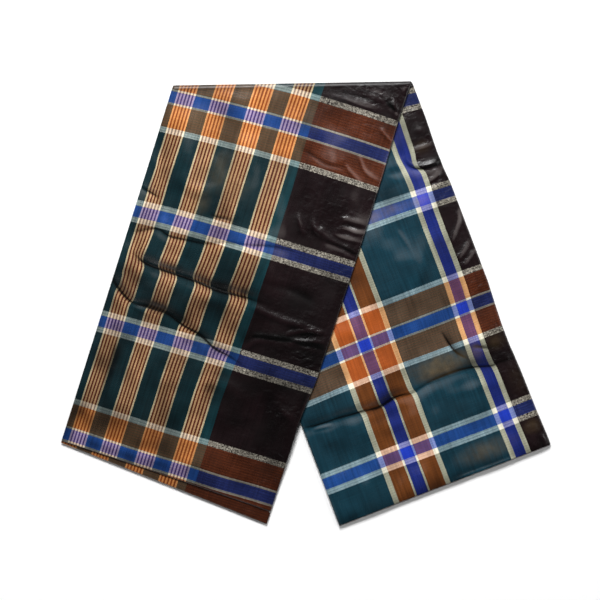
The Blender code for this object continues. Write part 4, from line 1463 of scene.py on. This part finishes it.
    def material(self) -> bpy.types.Material:
        """Builds the material."""
        shader = Shader(self.name)
        place = shader.node("ShaderNodeUVMap", {"uv_map": CLOTH_MAP}, {}).outputs[0]
        parts = shader.node("ShaderNodeSeparateXYZ", {}, {0: place})
        across, along = shader.value(parts, 0) * 1000.0, shader.value(parts, 1) * 1000.0
        flat = shader.vector(across, along)
        grain = shader.noise(flat, 1.0 / 1.1, 1.0)
        fray = shader.noise(shader.vector(across, along, 7.0), 1.0 / 1.6, 1.0) * self.fray
        warp, warp_cover = self.warp_yarns(shader, across + fray)
        weft, weft_cover, lines, brown, blue = self.weft_yarns(shader, along + fray)
        turn = 2.0 * math.pi / self.yarn
        over = (across * turn).math("SINE") * (along * turn).math("SINE")
        speck = shader.noise(shader.vector(across, along, 23.0), 1.0 / 1.6, 2.0)
        picks = (along * (2.0 * math.pi / self.pick)).math("SINE") * (grain + 0.5).clamp()
        # A warp yarn is told by its cover. Green tints the cream rows most, then blue, then orange.
        black = warp_cover.math("COMPARE", BLACK.cover, 0.05)
        tinted = (warp_cover > 1.05) * 0.4 + (warp_cover > 1.15) * 0.6
        tinted = tinted + warp_cover.math("COMPARE", ORANGE.cover, 0.04) * 0.35
        for blend in BLENDS:
            here = warp_cover.math("COMPARE", blend.warp.cover, 0.04) * 0.8
            warp = shader.mix(here * brown, warp, (*blend.over_brown, 1.0))
            warp = shader.mix(here * blue, warp, (*blend.over_blue, 1.0))
        # How far the weft hides the warp at a place, uneven from yarn to yarn.
        share = weft_cover / (warp_cover + weft_cover) + grain * 0.3 + over * 0.12 + picks * 0.09
        share = (share + speck * lines * black * self.fleck).clamp()
        soak = shader.scaled(warp, share * (1.0 - share) * lines * tinted * self.soak)
        colour = shader.added(shader.mix(share, warp, weft), soak)
        warp_slub = shader.noise(shader.vector(across * 1.1, along * 0.02), 1.0, 2.0)
        weft_slub = shader.noise(shader.vector(across * 0.02, along * 1.1, 3.0), 1.0, 2.0)
        patches = shader.noise(shader.vector(across, along, 11.0), 1.0 / 38.0, 3.0)
        tone = shader.value(shader.node("ShaderNodeAttribute", {"attribute_name": PAINTED_LIGHT}, {}), "Fac")
        streaks = shader.noise(shader.vector(across * 0.3, along * 0.009, 5.0), 1.0, 2.0)
        # Lightness from yarn slubs, streaks and random patches, times the painted shade of a shaded copy.
        light = (warp_slub * 0.8 + weft_slub * 0.65 + streaks * 0.85 + patches * 0.5 + 1.0) * self.shade
        # Painted shade and highlight from each point's painted light: clefts, tucks, ridges, the turn and the
        # under arm's end.
        light = light * (1.0 - tone).math("MAXIMUM", 0.05)
        # Painted sheen: only bright ridges, where the painted light lies well below 0, are mixed towards a pale
        # colour, a painted highlight.
        painted_sheen = (-0.22 - tone + grain * 0.25).clamp() * self.sheen
        colour = shader.mix(painted_sheen, shader.scaled(colour, light), (*PAINTED_SHEEN_COLOUR, 1.0))
        # Painted brassy sheen: patches mixed towards a warm colour, a painted reflection.
        colour = shader.mix(self.brassy_sheen_share(shader, across, along), colour, (*PAINTED_BRASSY_SHEEN, 1.0))
        crumple = shader.noise(shader.vector(across, along, 17.0), 1.0 / 9.0, 2.0)
        facets = shader.noise(shader.vector(across, along * 1.3, 41.0), 1.0 / 17.0, 2.0).math("ABSOLUTE")
        crushed = ((across - CRUSH_FROM) / CRUSH_SPAN).clamp() * black * (patches * 4.0 + 0.7).clamp()
        relief = crumple * 0.30 + over * 0.03 + (warp_slub + weft_slub) * 0.05
        relief = relief + facets * crushed * self.crush
        bump = shader.node("ShaderNodeBump", {}, {"Strength": 0.6, "Distance": 0.001, "Height": relief})
        gloss = patches * -0.2 + grain * 0.1 + self.beside_turn(shader) * TURN_ROUGHNESS + self.roughness
        coat = (patches * 0.4 - tone * 0.6 + self.coat).clamp()
        surface = shader.node("ShaderNodeBsdfPrincipled", {}, {
            "Base Color": colour, "Roughness": gloss, "Coat Weight": coat, "Coat Roughness": 0.2,
            "Specular IOR Level": 0.36, "Normal": bump.outputs[0],
        })
        shader.node("ShaderNodeOutputMaterial", {}, {0: surface.outputs[0]})
        return shader.material


@dataclass(frozen=True)
class PlainFinish:
    """One matt colour with a faint unevenness, for threads and for the floor.

    Args:
        name: Name of the material.
        colour: Its colour in linear light.
        roughness: Its roughness.
        grain: Length of its unevenness in metres.
        amount: How uneven it is.
    """

    name: str
    colour: Colour
    roughness: float
    grain: float
    amount: float

    def material(self) -> bpy.types.Material:
        """Builds the material."""
        shader = Shader(self.name)
        place = shader.node("ShaderNodeTexCoord", {}, {}).outputs["Object"]
        uneven = shader.noise(place, 1.0 / self.grain) * self.amount + 1.0
        base = shader.node("ShaderNodeRGB", {}, {})
        base.outputs[0].default_value = (*self.colour, 1.0)
        inputs = {"Base Color": shader.scaled(base.outputs[0], uneven), "Roughness": self.roughness}
        surface = shader.node("ShaderNodeBsdfPrincipled", {}, inputs)
        shader.node("ShaderNodeOutputMaterial", {}, {0: surface.outputs[0]})
        return shader.material


@dataclass(frozen=True)
class SelvedgeLoops:
    """The weft's small turns along a woven edge, set on a path by a node tree.

    Args:
        pitch: Distance from one turn to the next, in metres.
        reach: How far each turn stands out from the edge, in metres.
        thread: Radius of the thread, in metres.
        seed: Picks how uneven the turns are.
    """

    pitch: float = 0.0015
    reach: float = 0.0007
    thread: float = 0.00028
    seed: int = 5

    def tree(self, material: bpy.types.Material) -> bpy.types.GeometryNodeTree:
        """Builds the node tree that sets the turns along a path."""
        tree = bpy.data.node_groups.new("selvedge_loops", "GeometryNodeTree")
        face = tree.interface
        face.new_socket("Path", in_out="INPUT", socket_type="NodeSocketGeometry")
        for title in ("Pitch", "Reach", "Thread"):
            face.new_socket(title, in_out="INPUT", socket_type="NodeSocketFloat")
        face.new_socket("Seed", in_out="INPUT", socket_type="NodeSocketInt")
        face.new_socket("Loops", in_out="OUTPUT", socket_type="NodeSocketGeometry")

        def add(kind: str, settings: dict, inputs: dict) -> bpy.types.Node:
            """Adds one node with its settings and its sockets' values or links."""
            made = tree.nodes.new(kind)
            for name, setting in settings.items():
                setattr(made, name, setting)
            for name, given in inputs.items():
                if isinstance(given, bpy.types.NodeSocket):
                    tree.links.new(given, made.inputs[name])
                else:
                    made.inputs[name].default_value = given
            return made

        given = add("NodeGroupInput", {}, {}).outputs
        path = add("GeometryNodeMeshToCurve", {}, {"Mesh": given["Path"]}).outputs["Curve"]
        even = add("GeometryNodeResampleCurve", {"mode": "LENGTH"}, {"Curve": path, "Length": given["Pitch"]})
        arc = add("GeometryNodeCurveArc", {"mode": "RADIUS"}, {
            "Resolution": 6, "Radius": given["Reach"], "Start Angle": 0.0, "Sweep Angle": math.pi,
        })
        ring = add("GeometryNodeCurvePrimitiveCircle", {"mode": "RADIUS"}, {
            "Resolution": 5, "Radius": given["Thread"],
        })
        loop = add("GeometryNodeCurveToMesh", {}, {
            "Curve": arc.outputs["Curve"], "Profile Curve": ring.outputs["Curve"], "Fill Caps": True,
        })
        tangent = add("GeometryNodeInputTangent", {}, {}).outputs[0]
        turned = add("FunctionNodeAlignEulerToVector", {"axis": "X", "pivot_axis": "Z"}, {"Vector": tangent})
        uneven = add("FunctionNodeRandomValue", {"data_type": "FLOAT"}, {
            2: 0.8, 3: 1.15, "Seed": given["Seed"],
        })
        points = add("GeometryNodeInstanceOnPoints", {}, {
            "Points": even.outputs["Curve"], "Instance": loop.outputs["Mesh"], "Rotation": turned.outputs[0],
            "Scale": uneven.outputs[1],
        })
        plain = add("GeometryNodeRealizeInstances", {}, {"Geometry": points.outputs[0]})
        dressed = add("GeometryNodeSetMaterial", {}, {"Geometry": plain.outputs[0], "Material": material})
        add("NodeGroupOutput", {}, {"Loops": dressed.outputs[0]})
        return tree

    def build(self, name: str, path: Numbers, material: bpy.types.Material) -> bpy.types.Object:
        """Sets the turns along a path.

        Args:
            name: Name of the piece.
            path: Points of the edge in millimetres, with the cloth on their right.
            material: The thread's material.

        Returns:
            The finished object, a plain mesh.
        """
        mesh = bpy.data.meshes.new(name + "_path")
        places = (path - (*CENTRE, 0.0)) * MM
        mesh.from_pydata(places.tolist(), [(spot, spot + 1) for spot in range(len(places) - 1)], [])
        guide = bpy.data.objects.new(name + "_guide", mesh)
        bpy.context.scene.collection.objects.link(guide)
        modifier = guide.modifiers.new("loops", "NODES")
        modifier.node_group = self.tree(material)
        sizes = {"Pitch": self.pitch, "Reach": self.reach, "Thread": self.thread, "Seed": self.seed}
        for item in modifier.node_group.interface.items_tree:
            if item.name in sizes:
                modifier[item.identifier] = sizes[item.name]
        bpy.context.view_layer.update()
        ready = guide.evaluated_get(bpy.context.evaluated_depsgraph_get())
        plain = bpy.data.meshes.new_from_object(ready)
        bpy.data.objects.remove(guide, do_unlink=True)
        plain.polygons.foreach_set("use_smooth", [True] * len(plain.polygons))
        thing = bpy.data.objects.new(name, plain)
        bpy.context.scene.collection.objects.link(thing)
        return thing


@dataclass(frozen=True)
class Studio:
    """Pale floor, soft lights and the camera straight above.

    Args:
        middle: Point of the floor under the camera, in metres.
        width: Width of the floor in view, in metres.
        height: Height of the camera in metres.
        floor: Length of the floor's side in metres.
    """

    middle: Point = (-0.0079, 0.0047)
    width: float = 0.8118
    height: float = 3.2
    floor: float = 9.0

    def build(self) -> None:
        """Makes the floor, the lights, the world and the camera."""
        half = self.floor / 2
        mesh = bpy.data.meshes.new("floor")
        level = -0.0003
        corners = [(-half, -half, level), (half, -half, level), (half, half, level), (-half, half, level)]
        mesh.from_pydata(corners, [], [(0, 1, 2, 3)])
        mesh.materials.append(PlainFinish("floor_paper", (0.92, 0.92, 0.92), 0.9, 0.4, 0.01).material())
        floor = bpy.data.objects.new("floor", mesh)
        bpy.context.scene.collection.objects.link(floor)
        self.light("key", (-0.3, 2.2, 2.3), 1.2, 150.0)
        self.light("side", (2.4, 0.3, 1.7), 1.4, 18.0)
        self.light("low", (-1.6, -2.2, 1.9), 1.6, 13.0)
        self.world()
        self.camera()

    def light(self, name: str, place: tuple[float, float, float], size: float, power: float) -> None:
        """Hangs one square soft light, aimed at the middle of the floor."""
        lamp = bpy.data.lights.new(name, "AREA")
        lamp.size = size
        lamp.energy = power
        thing = bpy.data.objects.new(name, lamp)
        thing.location = place
        flat = math.hypot(place[0], place[1])
        thing.rotation_euler = (math.atan2(flat, place[2]), 0.0, math.atan2(-place[1], -place[0]) - math.pi / 2)
        bpy.context.scene.collection.objects.link(thing)

    @staticmethod
    def world() -> None:
        """Lights the room softly from its walls, and hardly from its ceiling."""
        world = bpy.data.worlds.new("room")
        world.use_nodes = True
        nodes, links = world.node_tree.nodes, world.node_tree.links
        place = nodes.new("ShaderNodeTexCoord")
        parts = nodes.new("ShaderNodeSeparateXYZ")
        links.new(place.outputs["Generated"], parts.inputs[0])
        fade = nodes.new("ShaderNodeMapRange")
        fade.interpolation_type = "SMOOTHSTEP"
        for name, value in (("From Min", 0.15), ("From Max", 0.6), ("To Min", 0.6), ("To Max", 0.04)):
            fade.inputs[name].default_value = value
        links.new(parts.outputs["Z"], fade.inputs["Value"])
        back = nodes["Background"]
        back.inputs["Color"].default_value = (1.0, 1.0, 1.0, 1.0)
        links.new(fade.outputs["Result"], back.inputs["Strength"])
        bpy.context.scene.world = world

    def camera(self) -> None:
        """Sets the camera straight above, with the photograph's frame."""
        lens = bpy.data.cameras.new("camera")
        lens.sensor_width = 36.0
        lens.lens = 36.0 * self.height / self.width
        lens.clip_end = 50.0
        thing = bpy.data.objects.new("camera", lens)
        thing.location = (*self.middle, self.height)
        bpy.context.scene.collection.objects.link(thing)
        bpy.context.scene.camera = thing
        bpy.context.scene.view_settings.view_transform = "Standard"


class Longyi:
    """The whole folded cloth."""

    def __init__(self) -> None:
        """Makes the cloths and the thread that its pieces share."""
        outer_rows, inner_rows = WeftRows(wide=(0, 3)), WeftRows(wide=(2,))
        self.outer = GlazedPlaid("plaid_outer_face", OUTER_WARP, outer_rows, brassy=OUTER_BRASSY_SHEEN).material()
        self.inner = GlazedPlaid("plaid_inner_face", INNER_WARP, inner_rows, brassy=INNER_BRASSY_SHEEN).material()
        # The second leaf and the stacked edges are copies of the outer face with painted shade, at 0.62 and 0.8
        # of its light.
        self.second = GlazedPlaid("plaid_second_leaf", OUTER_WARP, outer_rows, shade=0.62).material()
        self.stack = GlazedPlaid("plaid_stacked_edges", OUTER_WARP, outer_rows, shade=0.8).material()
        self.thread = PlainFinish("selvedge_thread", linear(52, 40, 40), 0.7, 0.004, 0.4).material()
        self.pieces: list[bpy.types.Object] = []

    def over_stations(self) -> list[Station]:
        """Stations of the over arm's top leaf."""
        body = [ArmStation(Arm.OVER, float(share)) for share in np.linspace(0.0, 0.855, 300)]
        ends = [end_station(float(share)) for share in (*np.linspace(0.0, 0.97, 38), 0.996, 1.0)]
        return [*turn_stations(TURN_STEPS), *body, *ends]

    def build_over_stretch(self) -> None:
        """Builds the over arm's top leaf and its selvedge."""
        leaf = TopLeaf("over_stretch_cloth", "over_stretch", "outer_face")
        stations = self.over_stations()
        cloth = leaf.build(stations, self.outer)
        loops = self.edge_loops("over_stretch_selvedge", cloth)
        self.hand_in(cloth, leaf.node, leaf.slot, (0.314, 0.515))

    def build_under_stretch(self) -> None:
        """Builds the under arm's top leaf and its selvedge."""
        leaf = TopLeaf("under_stretch_cloth", "under_stretch", "inner_face")
        shares = (*np.linspace(0.0, 0.9955, 345), 0.999, 1.0)
        stations = [ArmStation(Arm.UNDER, float(share)) for share in shares]
        cloth = leaf.build(stations, self.inner)
        loops = self.edge_loops("under_stretch_selvedge", cloth)
        self.hand_in(cloth, leaf.node, leaf.slot, (0.313, 0.55))

    def edge_loops(self, name: str, cloth: bpy.types.Object) -> bpy.types.Object:
        """Sets selvedge turns along a top leaf's last ring, just outside its rounded end."""
        ring = 1 + 2 * (COLUMNS + 1 + EDGE_STEPS)
        count = len(cloth.data.vertices)
        spots = np.zeros(count * 3)
        cloth.data.vertices.foreach_get("co", spots)
        last = spots.reshape(-1, 3)[count - ring:]
        upper, lower = last[1:COLUMNS + 2], last[:-COLUMNS - 2:-1]
        path = (upper + lower)[::-1] / 2 / MM + (*CENTRE, 0.0)
        loops = SelvedgeLoops().build(name, path, self.thread)
        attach(loops, "root")
        return loops

    def build_second_leaf(self) -> None:
        """Builds the leaf below the over arm's top leaf."""
        cloth = SecondLeaf().build(self.second)
        self.hand_in(cloth, "over_second_leaf", "second_leaf", (0.305, 0.07))

    def build_over_layers(self) -> None:
        """Builds the over arm's hidden layers and the turn's."""
        layers = HiddenLayers("over_layers_cloth", "over_hidden_layers")
        turn = turn_stations(TURN_STEPS)
        plan = [(station, station.angle / math.pi, HIDDEN_TOP, INSIDE_WRAP) for station in turn]
        for share in np.linspace(0.0, 0.85, 70):
            plan.append((ArmStation(Arm.OVER, float(share)), 0.0, HIDDEN_TOP, INSIDE_WRAP))
        below = [ArmStation(Arm.OVER, SECOND_LEAF_START - 0.003)]
        below += [end_station(float(share)) for share in np.linspace(0.0, 0.8, 8)]
        start = below[-1]
        below.append(past_station(start, 0.45, layers.valley))
        plan += [(station, 0.0, LOW_TOP, BELOW_SECOND_LEAF) for station in below]
        for share in (0.55, 0.7, 0.85, 1.0):
            plan.append((past_station(start, share, layers.valley), 0.0, LOW_TOP, PAST_TOP_LEAF))
        cloth = layers.build(plan, self.stack)
        self.hand_in(cloth, layers.node, "hidden_layers", (0.306, 0.53))

    def build_under_layers(self) -> None:
        """Builds the under arm's hidden layers."""
        layers = HiddenLayers("under_layers_cloth", "under_hidden_layers")
        end = 1.0 - layers.valley / BANDS[Arm.UNDER].length(0.5)
        shares = np.linspace(0.0, end, 80)
        plan = [(ArmStation(Arm.UNDER, float(share)), 0.0, HIDDEN_TOP, INSIDE_WRAP) for share in shares]
        cloth = layers.build(plan, self.stack)
        self.hand_in(cloth, layers.node, "hidden_layers", (0.306, 0.545))

    def hand_in(
        self, cloth: bpy.types.Object, node: str, slot: str, flat: Point,
    ) -> None:
        """Args:
            cloth: The piece.
            node: The solid that it stands for.
            slot: Name of a material slot; not used.
            flat: Flat size of what shows of it, in metres.
        """
        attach(cloth, "root")
        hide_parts(node)
        area = sum(face.area for face in cloth.data.polygons) / 2
        LOG.info("%s: %d faces, %.4f m2 of cloth for %.4f m2", cloth.name, len(cloth.data.polygons), area,
                 flat[0] * flat[1])
        self.pieces.append(cloth)


def main() -> None:
    """Builds the cloth piece by piece, and then the studio."""
    logging.basicConfig(level=logging.INFO, format="%(name)s: %(message)s")
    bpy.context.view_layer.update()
    longyi = Longyi()
    longyi.build_under_layers()
    longyi.build_under_stretch()
    longyi.build_over_layers()
    longyi.build_second_leaf()
    longyi.build_over_stretch()
    Studio().build()


if __name__ == "__main__":
    main()
